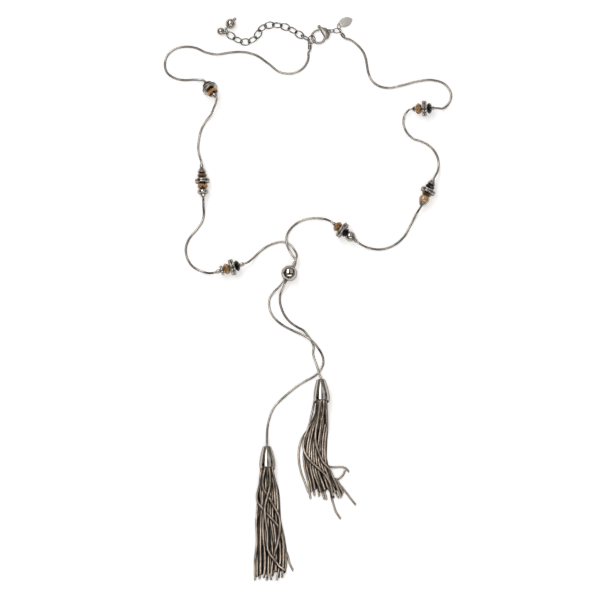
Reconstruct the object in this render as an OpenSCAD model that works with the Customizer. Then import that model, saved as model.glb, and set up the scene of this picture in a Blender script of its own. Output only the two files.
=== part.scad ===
// Lariat necklace lying flat on a surface, seen from above: X to the right, Y away, Z up.
// Two snake chains run from a lobster clasp through bead stations and one slider ball
// to two tassels. The floor is Z = 0 and the origin is the middle of the necklace's box.

/* [Snake chain] */
// Thickness of the round snake chain
chain_d = 1.2; // [1:0.05:1.25]
// Radial play of the chain in each bore
chain_play = 0.12; // [0.1:0.01:0.15]

/* [Slider ball] */
// Diameter of the ball that holds both chains
slider_d = 8.5; // [8:0.1:9]
// Distance of each chain from the middle of the ball's bore
slider_spread = 0.72; // [0.7:0.01:0.75]

/* [Bead stations] */
// Gap between neighbouring pieces on the chain
bead_gap = 0.1; // [0.1:0.01:0.15]
// Thickness of each rim of a double ring
rim_t = 0.55; // [0.5:0.05:0.65]
// Width across each stone in a double ring
stone_d = 1.3; // [1.1:0.05:1.35]

/* [Tassels] */
// Length of a bell cap
cap_l = 12.3; // [12:0.1:12.6]
// Wall of a bell cap
cap_wall = 0.6; // [0.5:0.05:0.7]
// Lean of a bell cap as it lies on its side
cap_lean = 8; // [7:0.5:8.5]

/* [Clasp] */
// Middle radius of the clasp's hook
hook_r = 3.5; // [3.45:0.01:3.55]
// Radius of the hook's wire
hook_wire_r = 0.58; // [0.55:0.01:0.6]
// Swing of the lever: 0 is shut
lever_open = 0; // [0:1:20]

/* [Extension chain] */
// Outer length of a link
link_l = 5.8; // [5.75:0.05:5.85]
// Outer width of a link
link_w = 4.2; // [4.1:0.1:4.3]
// Wire radius of a link
link_wire_r = 0.3; // [0.28:0.01:0.31]
// Lean of the links from the floor, to either side in turn
link_lean = 36; // [34:1:38]

/* [Hidden] */
chain_r = chain_d / 2;
bore_r = chain_r + chain_play;
floor_z = chain_r + 0.07;
ring_step = 3 * chain_d;
tube_sides = 8;
facets = 12;
fine = 48;

SILVER = "#b9b3ab";
STEEL = "#c9c6c2";
BLACK = "#1d1a18";
BROWN = "#4a3424";
AMBER = "#b07a48";
PEARL = "#d8b98c";

// Pieces along a station: kind, length, diameter at the start, diameter at the end, colour
crimp = ["crimp", 1.2, 2, 2, STEEL];
middle_crimp = ["crimp", 1.7, 2, 2, STEEL];
long_crimp = ["crimp", 2.3, 2.2, 2.2, STEEL];
end_cone = ["cone", 1.5, 3.4, 2.2, STEEL];
black_bead = ["rondelle", 2.6, 5.9, 5.9, BLACK];
amber_bead = ["rondelle", 3.4, 6.1, 6.1, AMBER];
double_ring = ["ring", 2.5, 8.4, 8.4, STEEL];

// A station: name, middle of its double ring [x, y], heading in the plan, rise of its
// axis, number of its double ring, names and pieces in the order of the chain
LEFT_TOP = ["left_top", [-52, 113.8], -58, 25, 2,
    ["crimp", "black_bead", "ring", "amber_bead", "cone"],
    [crimp, black_bead, double_ring, amber_bead, end_cone]];
LEFT_MIDDLE = ["left_middle", [-56, 63.8], -87, 0, 3,
    ["crimp", "cap", "brown_bead", "ring", "amber_bead", "silver_bead", "cone"],
    [middle_crimp, ["cone", 2.6, 2.6, 4.7, STEEL], ["rondelle", 3.1, 5.2, 5.2, BROWN],
     ["ring", 2.4, 7.8, 7.8, STEEL], ["rondelle", 3.2, 5.7, 5.7, AMBER],
     ["disc", 2.5, 5.8, 5.8, STEEL], end_cone]];
LEFT_LOW = ["left_low", [-40.1, 16.8], 17, 0, 3,
    ["crimp", "silver_bead", "amber_bead", "ring", "black_bead", "end_crimp"],
    [long_crimp, ["disc", 1.6, 5.3, 5.3, STEEL], amber_bead,
     ["ring", 2.6, 8.7, 8.7, STEEL], ["rondelle", 2.6, 6.1, 6.1, BLACK], long_crimp]];
RIGHT_LOW = ["right_low", [18.2, 36.9], 141.5, 0, 4,
    ["crimp", "cap", "mirror_bead", "black_bead", "ring", "amber_bead", "end_crimp"],
    [crimp, ["cone", 1, 2.2, 3.2, STEEL], ["ball", 4, 5.5, 5.5, STEEL],
     ["rondelle", 1.9, 5.2, 5.2, BLACK], ["ring", 2.6, 8.9, 8.9, STEEL],
     ["rondelle", 3.3, 5.8, 5.8, AMBER], crimp]];
RIGHT_MIDDLE = ["right_middle", [63.7, 58.2], -114.5, 0, 3,
    ["crimp", "cap", "black_bead", "ring", "brown_bead", "pearl_bead", "end_cap"],
    [crimp, ["cone", 1.9, 3.2, 4.5, STEEL], ["rondelle", 2.6, 5.3, 5.3, BLACK],
     ["ring", 2.4, 8, 8, STEEL], ["rondelle", 1.6, 5.3, 5.3, BROWN],
     ["ball", 3.7, 5.7, 5.7, PEARL], ["cone", 2, 4.4, 2.2, STEEL]]];
RIGHT_TOP = ["right_top", [61.8, 103], 182.5, 0, 2,
    ["crimp", "black_bead", "ring", "amber_bead", "cone"],
    [crimp, black_bead, double_ring, amber_bead, end_cone]];
STATIONS = [LEFT_TOP, LEFT_MIDDLE, LEFT_LOW, RIGHT_LOW, RIGHT_MIDDLE, RIGHT_TOP];

// Slider ball: its middle and the heading of its bore
slider_at = [-9.9, 13.5, slider_d / 2];
slider_heading = -119;
slider_bore_r = slider_spread + chain_r + chain_play;
slider_flat = 0.92 * slider_d / 2;

// Bell caps: the middle of the small end, and the heading towards the mouth
cap_rest_z = 3.03;
CAP_UPPER = [[6.9, -43.9, cap_rest_z], -88];
CAP_LOWER = [[-21.7, -80.2, cap_rest_z], -88.5];
// Cap outline: distance from the small end as a share of the length, and radius
CAP_OUTLINE = [[0, 2.3], [0.03, 2.5], [0.25, 3.2], [0.5, 3.9], [0.72, 4.3], [0.85, 4.33], [1, 4.05]];
cap_top_t = 1.1;
head_start = 3.4;
head_end = 8.4;
head_r = [2.2, 3];

// Tassel sections, from the mouth to the ends: y, left x, right x, underside, top
UPPER_SECTIONS = [
    [-55.5, 4.8, 9.5, 2.7, 6.8], [-61.5, 3.8, 10.4, 0.8, 5.2], [-67.5, 1.9, 10.8, 0, 4],
    [-71.5, -0.3, 10.7, 0, 3.4], [-76, -2, 10.2, 0, 3], [-80.5, -3, 10.1, 0, 2.8],
    [-85, -3, 9.9, 0, 2.8], [-90.5, -2.5, 10.9, 0, 2.8], [-95, -1.5, 13, 0, 2.7],
    [-99, -0.3, 16.2, 0, 2.6], [-103, 0, 18.8, 0, 2.5], [-108, 0.8, 21, 0, 2.4]];
LOWER_SECTIONS = [
    [-92.5, -24, -19.3, 2.7, 6.8], [-98, -26, -16, 0.8, 5.2], [-103.5, -27, -14.5, 0, 4],
    [-109, -27, -14.5, 0, 3.4], [-114.5, -27.5, -14.5, 0, 3.2], [-121.5, -28, -13.5, 0, 3],
    [-128, -28.5, -12, 0, 2.8], [-134.5, -28.5, -11, 0, 2.6], [-140.5, -28.5, -10.5, 0, 2.5],
    [-146.5, -28.5, -11.5, 0, 2.5], [-152, -28.5, -13, 0, 2.4]];
lower_locks = 7;
upper_locks = 5;
strand_r = 0.58;
// Single strands that stray from the bundle
UPPER_STRAYS = [
    [[5.2, -58, 2.9], [4, -62, 1.7], [0.8, -69, 0.6], [-3.3, -75.5, 0.6], [-4.8, -81.5, 0.6],
     [-4.7, -88, 0.6], [-3.4, -94, 0.6], [-1.6, -99, 0.6], [0.2, -104, 0.6]],
    [[9, -84, 1], [10.8, -90, 0.85], [14, -90.6, 0.75], [17.4, -90.4, 0.65], [20, -91.2, 0.7], [21.8, -93, 0.6]],
    [[19.6, -92.3, 0.65], [18.4, -94.9, 0.6], [16.1, -96.9, 0.7], [13.8, -98, 1]],
    [[12.5, -107, 0.7], [13.5, -110.5, 0.6], [14.8, -114.5, 0.6], [17.3, -118.3, 0.6]],
    [[16.6, -99.5, 0.9], [20.3, -104.3, 0.7], [23, -108, 0.6], [25.3, -110.8, 0.6]]];
LOWER_STRAYS = [
    [[-10.8, -138, 0.6], [-9.6, -142.5, 0.6], [-7.8, -146.3, 0.6]],
    [[-26.5, -110, 3], [-22.5, -116.5, 3.4], [-17, -121, 3.2], [-14, -126, 2.6]],
    [[-20.5, -137, 2.7], [-16.5, -142, 2.6], [-12.2, -146.5, 2]]];

// Clasp frame: the middle of the hook ring, turned towards the tail
clasp_at = [5.6, 142.8, 1.3];
clasp_heading = 27;
body_t = 2.5;
eye_x = 6.3;
eye_r = 0.7;
eye_wall = 0.5;
eye_t = 0.8;
pivot = [3.3, 3];
pin_r = 0.4;
pin_play = 0.12;
boss_r = 1.05;
lever_t = 0.8;
slot_t = 1.1;
slot_r = 1.75;
tip_reach = 5.05;
tip_gap = 0.15;
arc_start = 118;
arc_span = 210;
knob_at = [2.8, 4.75];
knob_r = 0.85;

// Rings: middle, heading, lean from the floor, middle radius, wire radius
HOOK_RING = [[1.9, 141.15, 1.6], 44, 37, 2.15, 0.28];
TAIL_RING = [[12.6, 145.85, 1.65], 3, 72, 1.45, 0.23];
TAG_RING = [[16.45, 148.2, 1.5], 83, 58, 1.5, 0.22];
DROP_RING = [[-43.1, 145.6, 1.8], 105, 70, 1.55, 0.22];
// The oval connector: middle, heading, lean, outer length, outer width, wire radius
CONNECTOR = [[15.5, 146.05, 1.4], 4, 0, 4.8, 3, 0.25];
// The tag: middle, heading, slope, half length, half width, thickness
TAG = [[19.8, 150.85, 0.75], 25, 6, 4.35, 2.65, 0.45];
tag_hole_r = 0.65;
tag_hole_x = -3.2;

// Chain ends: middle of the eye, heading of the chain as it leaves, lean of the eye
END_LEFT = [[1, 139.15, 1.1], -90, 28];
END_RIGHT = [[17.35, 145.3, 1.25], -55, 90];
end_tube_r = 1;
end_tube_l = 2.2;
end_wall = 0.5;
end_eye_r = 0.95;
end_eye_wire_r = 0.25;

// Extension chain: the middle of each link, from the clasp to the drops. The first link is
// held up by the ring in the hook and has its own height and lean
LINKS = [[-1.4, 142, 2.35, 58], [-4.5, 143.9], [-8.2, 146.3], [-12.1, 148.1], [-16.3, 149], [-20.5, 149],
    [-24.3, 147.5], [-26.5, 144.1], [-29.4, 141.1], [-33.3, 139.9], [-37.3, 141], [-40.9, 143.3]];

// Drops: middle of the ball, heading from its eye to its far end, slope, ball radius,
// distance from the ball's middle to the eye's
LARGE_DROP = [[-41.1, 149.6, 2.72], 46, 12, 2.7, 3.6];
SMALL_DROP = [[-46.35, 145.55, 2.06], 157, -4, 2.04, 3.65];
drop_tip_r = 0.88;
drop_disc_r = 1.1;
drop_eye_r = 0.7;
drop_eye_wire_r = 0.2;

// Direction of a heading in the plan and a rise above it
function aim(heading, rise) =
    [cos(rise) * cos(heading), cos(rise) * sin(heading), sin(rise)];
function sum(v, i = 0) = i < len(v) ? v[i] + sum(v, i + 1) : 0;
function piece_start(pieces, i) =
    sum([for (k = [0:1:i - 1]) pieces[k][1] + bead_gap]);
function station_ring(s) = s[6][s[4]];
// Height of the ring's middle where its lower edge rests on the floor
function station_z(s) =
    station_ring(s)[2] / 2 * cos(s[3]) + station_ring(s)[1] / 2 * sin(s[3]) + 0.02;
function station_mid(s) = [s[1][0], s[1][1], station_z(s)];
// Point on a station's axis, measured from its first face
function station_point(s, d) =
    station_mid(s)
    + (d - piece_start(s[6], s[4]) - station_ring(s)[1] / 2) * aim(s[2], s[3]);
function station_length(s) = piece_start(s[6], len(s[6])) - bead_gap;
// Straight stretch of chain through a station
lead = 0.8;
function station_run(s) = [for (d = [-lead, 0, station_length(s), station_length(s) + lead])
    station_point(s, d)];
// Straight stretch through the slider: side is 1 for the left chain, -1 for the right
slider_side = aim(slider_heading - 90, 0);
function slider_offset(side) =
    side * slider_spread / sqrt(2) * (slider_side + [0, 0, 1]);
function slider_run(side) = [for (d = [-1.2, -0.95, 0.95, 1.2])
    slider_at + d * slider_d / 2 * aim(slider_heading, 0) + slider_offset(side)];
function cap_point(cap, d) = cap[0] + d * aim(cap[1], cap_lean);
chain_end_depth = 3.1;
function cap_run(cap) = [for (d = [-1, 0, chain_end_depth]) cap_point(cap, d)];
function end_run(end) = [for (d = [end_eye_r + end_wall + 0.25, end_eye_r + end_tube_l + 0.5])
    end[0] + d * aim(end[1], 0)];
function flat(points) = [for (p = points) [p[0], p[1], len(p) > 2 ? p[2] : floor_z]];

// Round points of the left chain, between its straight stretches
LEFT_CLASP = [[0.4, 134.5, 0.8], [0.3, 131.5], [-2, 126.5], [-8, 123], [-14.5, 123.5], [-21, 128.3],
    [-27.5, 132.8], [-33.5, 134.5], [-41.5, 134.3], [-48.5, 133.3], [-54.5, 134.5], [-59.5, 136.8],
    [-65, 137.5], [-71, 136], [-75, 132], [-76, 128], [-75, 123.7], [-71, 120.5], [-66, 119.3],
    [-60, 119.5, 0.8]];
LEFT_A = [[-48.7, 106.3, 6.2], [-50, 103.2, 4.1], [-51.5, 100, 2.2], [-54, 97, 1], [-56.5, 92.5],
    [-57.7, 87.5], [-58.2, 81.5, 0.8], [-57.4, 77, 2.2]];
LEFT_B = [[-55.4, 50, 1.9], [-55.2, 46.5, 0.8], [-55.8, 43], [-58.7, 38.3], [-63, 33], [-64.7, 28],
    [-64, 22.6], [-61, 18], [-56, 15.2, 1.2], [-52.5, 14, 2.6]];
LEFT_C = [[-29.5, 21.8, 2], [-25.5, 26, 0.8], [-21.5, 29], [-18, 30.5], [-13, 31.3], [-9.5, 29.8, 0.9],
    [-7, 26.3, 2.2], [-5.9, 23.4, 4], [-6.4, 20.8, 5.2]];
LEFT_D = [[-14.8, 6.8, 3.4], [-18, 4, 1.4], [-20.3, 0.5], [-20.5, -3.6], [-19.5, -7.2],
    [-17.3, -10.4], [-13.3, -13.8], [-8, -16.7], [-2.4, -19.5, 1.7], [1.7, -22.3, 2.3],
    [5.7, -26.7, 1.2], [7.8, -30.8], [8.1, -34.6], [6.8, -37.8], [4.8, -40.2], [2.4, -42],
    [-0.7, -43.7], [-5.7, -46.8], [-10.7, -50.9], [-14.3, -54.2], [-17.6, -57.8], [-20.2, -63.5],
    [-21.5, -70, 0.8], [-21.7, -75, 1.7]];
// Round points of the right chain
RIGHT_CLASP = [[22.4, 141.3, 0.7], [26.4, 138.3], [29.2, 134.9], [30.6, 131.5], [31.3, 127.7],
    [32, 123.8], [34.2, 118.8], [38.2, 115.9], [42.5, 115], [49.5, 116.3], [57.8, 118.5],
    [66, 119.3], [73, 116.8], [76.1, 111], [74.8, 106.6], [72.3, 104, 1.3]];
RIGHT_A = [[52.4, 101.2, 2.6], [50.9, 98.4, 1.1], [50.7, 95.8], [51.4, 93], [53.3, 89.8], [56.3, 87.2],
    [60, 86], [65.8, 82.3], [68.7, 77.5], [69.4, 73, 0.9], [68.9, 69.6, 2.2]];
RIGHT_B = [[57.7, 46.5, 2], [54.5, 40.5, 0.8], [50.8, 34], [45.7, 29.6], [38.6, 27.3], [32.6, 27.9, 1.1],
    [28.9, 29, 2.9]];
RIGHT_C = [[9.2, 43.4, 2], [4, 44.2, 0.8], [-0.6, 43.7], [-5, 42], [-9, 38.6, 0.9], [-11.3, 34, 1.8],
    [-11.4, 31, 2.3], [-10.8, 28.4, 2.2], [-9.4, 25.6, 2], [-7.8, 23.2, 2.5], [-6.6, 20.8, 3.5]];
RIGHT_D = [[-13.1, 6.2, 2.5], [-14.5, 3.3, 1.1], [-14.9, -0.6], [-14, -4.7], [-12.6, -8], [-9.5, -12],
    [-5.8, -14.7], [-2.2, -16.8], [0.2, -19.8], [1.8, -22.2], [3, -25.4], [2.7, -29],
    [3.6, -32.5], [4.7, -35.8, 1.2], [5.7, -39.4, 2.4], [6.3, -41.4, 2.7]];

LEFT_ROUTE = concat(end_run(END_LEFT), flat(LEFT_CLASP), station_run(LEFT_TOP),
    flat(LEFT_A), station_run(LEFT_MIDDLE), flat(LEFT_B), station_run(LEFT_LOW),
    flat(LEFT_C), slider_run(1), flat(LEFT_D), cap_run(CAP_LOWER));
RIGHT_ROUTE = concat(end_run(END_RIGHT), flat(RIGHT_CLASP), station_run(RIGHT_TOP),
    flat(RIGHT_A), station_run(RIGHT_MIDDLE), flat(RIGHT_B), station_run(RIGHT_LOW),
    flat(RIGHT_C), slider_run(-1), flat(RIGHT_D), cap_run(CAP_UPPER));

// Tangent at point i: the neighbouring chords' directions, the nearer one weighing more
function tangent(p, i) =
    i == 0 ? (p[1] - p[0]) / norm(p[1] - p[0])
    : i == len(p) - 1 ? (p[i] - p[i - 1]) / norm(p[i] - p[i - 1])
    : let (a = p[i] - p[i - 1], b = p[i + 1] - p[i], t = a / pow(norm(a), 2) + b / pow(norm(b), 2))
        t / norm(t);
// Cubic between points i and i + 1
function curve_at(p, i, t) =
    let (h = norm(p[i + 1] - p[i]), m = tangent(p, i) * h, n = tangent(p, i + 1) * h)
    (2 * t * t * t - 3 * t * t + 1) * p[i] + (t * t * t - 2 * t * t + t) * m
    + (3 * t * t - 2 * t * t * t) * p[i + 1] + (t * t * t - t * t) * n;
function smooth(p, step) = concat(
    [for (i = [0:len(p) - 2]) let (n = max(1, ceil(norm(p[i + 1] - p[i]) / step)))
        for (k = [0:n - 1]) curve_at(p, i, k / n)],
    [p[len(p) - 1]]);

// Tube swept along points, one ring of vertices at each, with its half width and half height
// there
module sweep(points, half_w, half_h, sides) {
    n = len(points);
    ring = [for (i = [0:n - 1]) let (t = tangent(points, i), across = cross(t, [0, 0, 1]),
        s = across / norm(across), u = cross(s, t)) for (k = [0:sides - 1]) let (a = 360 * k / sides)
        points[i] + half_w[i] * cos(a) * s + half_h[i] * sin(a) * u];
    walls = [for (i = [0:n - 2]) for (k = [0:sides - 1]) let (m = (k + 1) % sides)
        [i * sides + k, i * sides + m, (i + 1) * sides + m, (i + 1) * sides + k]];
    ends = [[for (k = [sides - 1:-1:0]) k], [for (k = [0:sides - 1]) (n - 1) * sides + k]];
    polyhedron(ring, concat(walls, ends), convexity = 10);
}

// Torus on the floor plane round Z
module wire_ring(r, wire_r) {
    rotate_extrude($fn = fine) translate([r, 0]) circle(wire_r, $fn = 24);
}

module placed_ring(ring) {
    translate(ring[0]) rotate([ring[2], 0, ring[1]]) wire_ring(ring[3], ring[4]);
}

// Oval link: two half rings joined by straight rods, long way along X
module oval_link(l, w, wire_r) {
    bend = w / 2 - wire_r;
    straight = l - w;
    for (side = [0, 180]) {
        rotate([0, 0, side]) {
            translate([straight / 2, 0, 0]) rotate([0, 0, -90])
                rotate_extrude(angle = 180, $fn = fine) translate([bend, 0]) circle(wire_r, $fn = 24);
            translate([-straight / 2, bend, 0]) rotate([0, 90, 0])
                cylinder(r = wire_r, h = straight, $fn = 24);
        }
    }
}

// Turn Z to a heading and rise
module face(heading, rise) {
    rotate([0, 90 - rise, heading]) children();
}

// Solid of revolution round Z with the chain's bore: outline gives [z, r] points
module drilled(outline, sides) {
    last = len(outline) - 1;
    r = bore_r / cos(180 / sides);
    rotate_extrude($fn = sides) polygon(concat(
        [[r, outline[0][0]]], [for (p = outline) [p[1], p[0]]], [[r, outline[last][0]]]));
}

// Faceted glass rondelle: flat table round each hole, slanting crown and a narrow girdle
module rondelle(l, d) {
    drilled([[0, 0.3 * d], [0.36 * l, d / 2], [0.64 * l, d / 2], [l, 0.3 * d]], facets);
}

// Plain tube, cone or flat-sided bead
module crimp_tube(l, d1, d2) {
    bevel = 0.12 * l;
    drilled([[0, d1 / 2 - bevel], [bevel, d1 / 2], [l - bevel, d2 / 2], [l, d2 / 2 - bevel]], fine);
}

module silver_disc(l, d) {
    drilled([[0, 0.38 * d], [0.3 * l, d / 2], [0.7 * l, d / 2], [l, 0.38 * d]], fine);
}

module drilled_ball(l, d) {
    difference() {
        translate([0, 0, l / 2]) intersection() {
            sphere(d = d, $fn = fine);
            cube([d, d, l], center = true);
        }
        translate([0, 0, -1]) cylinder(r = bore_r, h = l + 2, $fn = 32);
    }
}

// Double ring: two bright rims with a row of set stones between them
module stone_ring(l, d) {
    core_r = d / 2 - 0.75;
    stone_top = d / 2 - 0.2;
    stones = floor(PI * d / (stone_d + 0.75));
    drilled([[0, d / 2 - 1], [0, d / 2 - 0.2], [0.2, d / 2], [rim_t, d / 2], [rim_t, core_r],
        [l - rim_t, core_r], [l - rim_t, d / 2], [l - 0.2, d / 2], [l, d / 2 - 0.2],
        [l, d / 2 - 1]], fine);
    for (k = [0:stones - 1]) {
        rotate([0, 0, 360 * k / stones]) translate([core_r - 0.3, 0, l / 2]) rotate([0, 90, 0])
            cylinder(r = min(stone_d / 2, l / 2 - rim_t - 0.05), h = stone_top - core_r + 0.3, $fn = 8);
    }
}

// Piece i of a station, on the chain's axis
module station_piece(s, i) {
    piece = s[6][i];
    at = station_point(s, piece_start(s[6], i));
    color(piece[4]) translate(at) face(s[2], s[3]) {
        if (piece[0] == "rondelle") rondelle(piece[1], piece[2]);
        if (piece[0] == "ring") stone_ring(piece[1], piece[2]);
        if (piece[0] == "disc") silver_disc(piece[1], piece[2]);
        if (piece[0] == "ball") drilled_ball(piece[1], piece[2]);
        if (piece[0] == "crimp" || piece[0] == "cone") crimp_tube(piece[1], piece[2], piece[3]);
    }
}

module snake_chain(route) {
    points = smooth(route, ring_step);
    r = [for (p = points) chain_r];
    color(SILVER) sweep(points, r, r, tube_sides);
}

module slider_ball() {
    color(STEEL) translate(slider_at) face(slider_heading, 0) difference() {
        intersection() {
            sphere(d = slider_d, $fn = 96);
            cube([slider_d, slider_d, 2 * slider_flat], center = true);
        }
        cylinder(r = slider_bore_r, h = slider_d + 1, center = true, $fn = fine);
    }
}

// Bell cap: hollow, open at the mouth, with a hole for the chain at the small end
module bell_cap(cap) {
    outer = [for (p = CAP_OUTLINE) [p[1], p[0] * cap_l]];
    inner = [for (i = [len(CAP_OUTLINE) - 1:-1:2])
        [CAP_OUTLINE[i][1] - cap_wall, CAP_OUTLINE[i][0] * cap_l]];
    color(STEEL) translate(cap[0]) face(cap[1], cap_lean)
        rotate_extrude($fn = 96) polygon(concat(
            [[bore_r, 0]], outer, inner, [[CAP_OUTLINE[1][1] - cap_wall, cap_top_t], [bore_r, cap_top_t]]));
}

// Sideways weave of a layer of locks as it runs down the tassel
function weave(level, row) = 0.05 * sin(250 * level + 61 * row);
// Places of a lock at each section: share is -1 at the left edge and 1 at the right
function lock_points(sections, share, level, k) = [for (i = [0:len(sections) - 1])
    let (s = sections[i], f = share + (i > 1 ? weave(level, i) : 0),
        end = i == len(sections) - 1 ? 1.6 * sin(140 * k) : 0)
    [(s[1] + s[2]) / 2 + f * (s[2] - s[1]) / 2, s[0] + end, s[3] + (s[4] - s[3]) * level]];
function share_of(k, n, reach) = reach * (2 * k / (n - 1) - 1);

// Lock of strands from the head to its ends, one of a layer of n
module lock(cap, sections, share, level, k) {
    body = lock_points(sections, share, level, k);
    start = cap_point(cap, head_end - 1);
    points = concat([[start[0] + share * 2.3, start[1], start[2] + (level - 0.5) * 4]], body);
    rows = [for (i = [0:len(points) - 1]) sections[max(0, i - 1)]];
    sweep(points, [for (s = rows) 0.42 * (s[2] - s[1]) / lower_locks],
        [for (s = rows) 0.22 * (s[4] - s[3])], tube_sides);
}

// Single loose strand
module stray(points) {
    for (i = [0:len(points) - 2]) {
        hull() {
            translate(points[i]) sphere(strand_r, $fn = 6);
            translate(points[i + 1]) sphere(strand_r, $fn = 6);
        }
    }
}

// Tassel: a head held in the cap, with locks of strands fused to it
module tassel(cap, sections, strays) {
    color(SILVER) union() {
        translate(cap_point(cap, head_start)) face(cap[1], cap_lean)
            cylinder(r1 = head_r[0], r2 = head_r[1], h = head_end - head_start, $fn = 16);
        for (k = [0:lower_locks - 1]) lock(cap, sections, share_of(k, lower_locks, 0.86), 0.24, k);
        for (k = [0:upper_locks - 1]) lock(cap, sections, share_of(k, upper_locks, 0.6), 0.74, k + 0.5);
        for (points = strays) stray(points);
    }
}

module clasp_frame() {
    translate(clasp_at) rotate([0, 0, clasp_heading]) children();
}

// Half of the ring of the clasp, between two angles round its middle
module ring_arc(from, span, wire_r) {
    rotate([0, 0, from]) rotate_extrude(angle = span, $fn = 96)
        translate([hook_r, 0]) circle(wire_r, $fn = 24);
}

module clasp_body() {
    color(STEEL) clasp_frame() difference() {
        union() {
            difference() {
                ring_arc(arc_start, arc_span, hook_wire_r);
                translate([pivot[0], pivot[1], -2]) cylinder(r = tip_reach + tip_gap, h = 4, $fn = 96);
            }
            ring_arc(262, 66, hook_wire_r);
            hull() {
                translate([3.35, 3.15, 0]) scale([1, 1, 1.15]) sphere(1, $fn = 20);
                translate([3.5, -2.6, 0]) scale([1, 1, 1.15]) sphere(0.8, $fn = 20);
                translate([4.5, 0.2, 0]) scale([1, 1, 1]) sphere(body_t / 2, $fn = 20);
                translate([5.6, 0, 0]) sphere(0.95, $fn = 20);
            }
            translate([5.3, 0, -eye_t / 2]) cylinder(r = 1.1, h = eye_t, $fn = fine);
            translate([eye_x, 0, -eye_t / 2]) cylinder(r = eye_r + eye_wall, h = eye_t, $fn = fine);
        }
        translate([eye_x, 0, -2]) cylinder(r = eye_r, h = 4, $fn = 32);
        translate([eye_x, 0, eye_t / 2]) cylinder(r = eye_r + eye_wall + 0.1, h = 2, $fn = 32);
        translate([eye_x, 0, -eye_t / 2 - 2]) cylinder(r = eye_r + eye_wall + 0.1, h = 2, $fn = 32);
        difference() {
            translate([pivot[0], pivot[1], -slot_t / 2]) union() {
                cylinder(r = boss_r + 0.25, h = slot_t, $fn = fine);
                rotate([0, 0, 70]) translate([0, -slot_r, 0]) cube([4, 2 * slot_r, slot_t]);
                rotate([0, 0, 178]) translate([0, -boss_r - 0.25, 0]) cube([4, 2 * boss_r + 0.5, slot_t]);
            }
            translate([pivot[0], pivot[1], -2]) cylinder(r = pin_r, h = 4, $fn = 32);
        }
    }
}

// Sprung lever: boss on the pin, arm that closes the hook, and the thumb knob
module clasp_lever() {
    color(STEEL) clasp_frame() translate([pivot[0], pivot[1], 0]) rotate([0, 0, lever_open])
        translate([-pivot[0], -pivot[1], 0]) difference() {
            union() {
                translate([pivot[0], pivot[1], -lever_t / 2]) cylinder(r = boss_r, h = lever_t, $fn = fine);
                intersection() {
                    ring_arc(60, 80, 0.52);
                    translate([pivot[0], pivot[1], -2]) cylinder(r = tip_reach, h = 4, $fn = 96);
                }
                translate([1.85, 3.1, -lever_t / 2]) cube([1.5, 0.9, lever_t]);
                translate([knob_at[0], knob_at[1] - 1.2, -lever_t / 2]) rotate([0, 0, 0])
                    translate([-0.4, 0, 0]) cube([0.8, 1.2, lever_t]);
                translate([knob_at[0], knob_at[1], 0]) sphere(knob_r, $fn = 32);
            }
            translate([pivot[0], pivot[1], -2]) cylinder(r = pin_r + pin_play, h = 4, $fn = 32);
        }
}

module hook_ring() {
    color(STEEL) placed_ring(HOOK_RING);
}

module tail_ring() {
    color(STEEL) placed_ring(TAIL_RING);
}

module tag_ring() {
    color(STEEL) placed_ring(TAG_RING);
}

module drop_ring() {
    color(STEEL) placed_ring(DROP_RING);
}

module connector_ring() {
    color(STEEL) translate(CONNECTOR[0]) rotate([CONNECTOR[2], 0, CONNECTOR[1]])
        oval_link(CONNECTOR[3], CONNECTOR[4], CONNECTOR[5]);
}

// Flat oval plate with a hole at one end
module tag() {
    arc_r = (pow(TAG[3], 2) + pow(TAG[4], 2)) / (2 * TAG[4]);
    color(STEEL) translate(TAG[0]) rotate([0, TAG[2], TAG[1]]) difference() {
        intersection() {
            translate([0, arc_r - TAG[4], -TAG[5] / 2]) cylinder(r = arc_r, h = TAG[5], $fn = 96);
            translate([0, TAG[4] - arc_r, -TAG[5] / 2]) cylinder(r = arc_r, h = TAG[5], $fn = 96);
            translate([0, 0, -TAG[5] / 2]) cylinder(r = TAG[3] - 0.12, h = TAG[5], $fn = 96);
        }
        translate([tag_hole_x, 0, -2]) cylinder(r = tag_hole_r, h = 4, $fn = 32);
    }
}

// Crimp tube over the chain's end, with an eye
module chain_end(end) {
    color(STEEL) translate(end[0]) rotate([0, 0, end[1]]) {
        rotate([end[2], 0, 0]) wire_ring(end_eye_r, end_eye_wire_r);
        translate([end_eye_r - 0.1, 0, 0]) rotate([0, 90, 0]) difference() {
            cylinder(r = end_tube_r, h = end_tube_l, $fn = fine);
            translate([0, 0, end_wall]) cylinder(r = bore_r, h = end_tube_l, $fn = 32);
        }
    }
}

// Heading of link i: from the link before it to the link after it
function link_heading(i) = let (a = LINKS[max(0, i - 1)], b = LINKS[min(len(LINKS) - 1, i + 1)])
    atan2(b[1] - a[1], b[0] - a[0]);
function link_tilt(i) = len(LINKS[i]) > 2 ? LINKS[i][3] : i % 2 == 0 ? link_lean : -link_lean;
function link_z(i) = len(LINKS[i]) > 2 ? LINKS[i][2]
    : (link_w / 2 - link_wire_r) * sin(link_lean) + link_wire_r + 0.02;
module extension_chain() {
    color(STEEL) for (i = [0:len(LINKS) - 1]) {
        translate([LINKS[i][0], LINKS[i][1], link_z(i)]) rotate([link_tilt(i), 0, link_heading(i)])
            oval_link(link_l, link_w, link_wire_r);
    }
}

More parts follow.
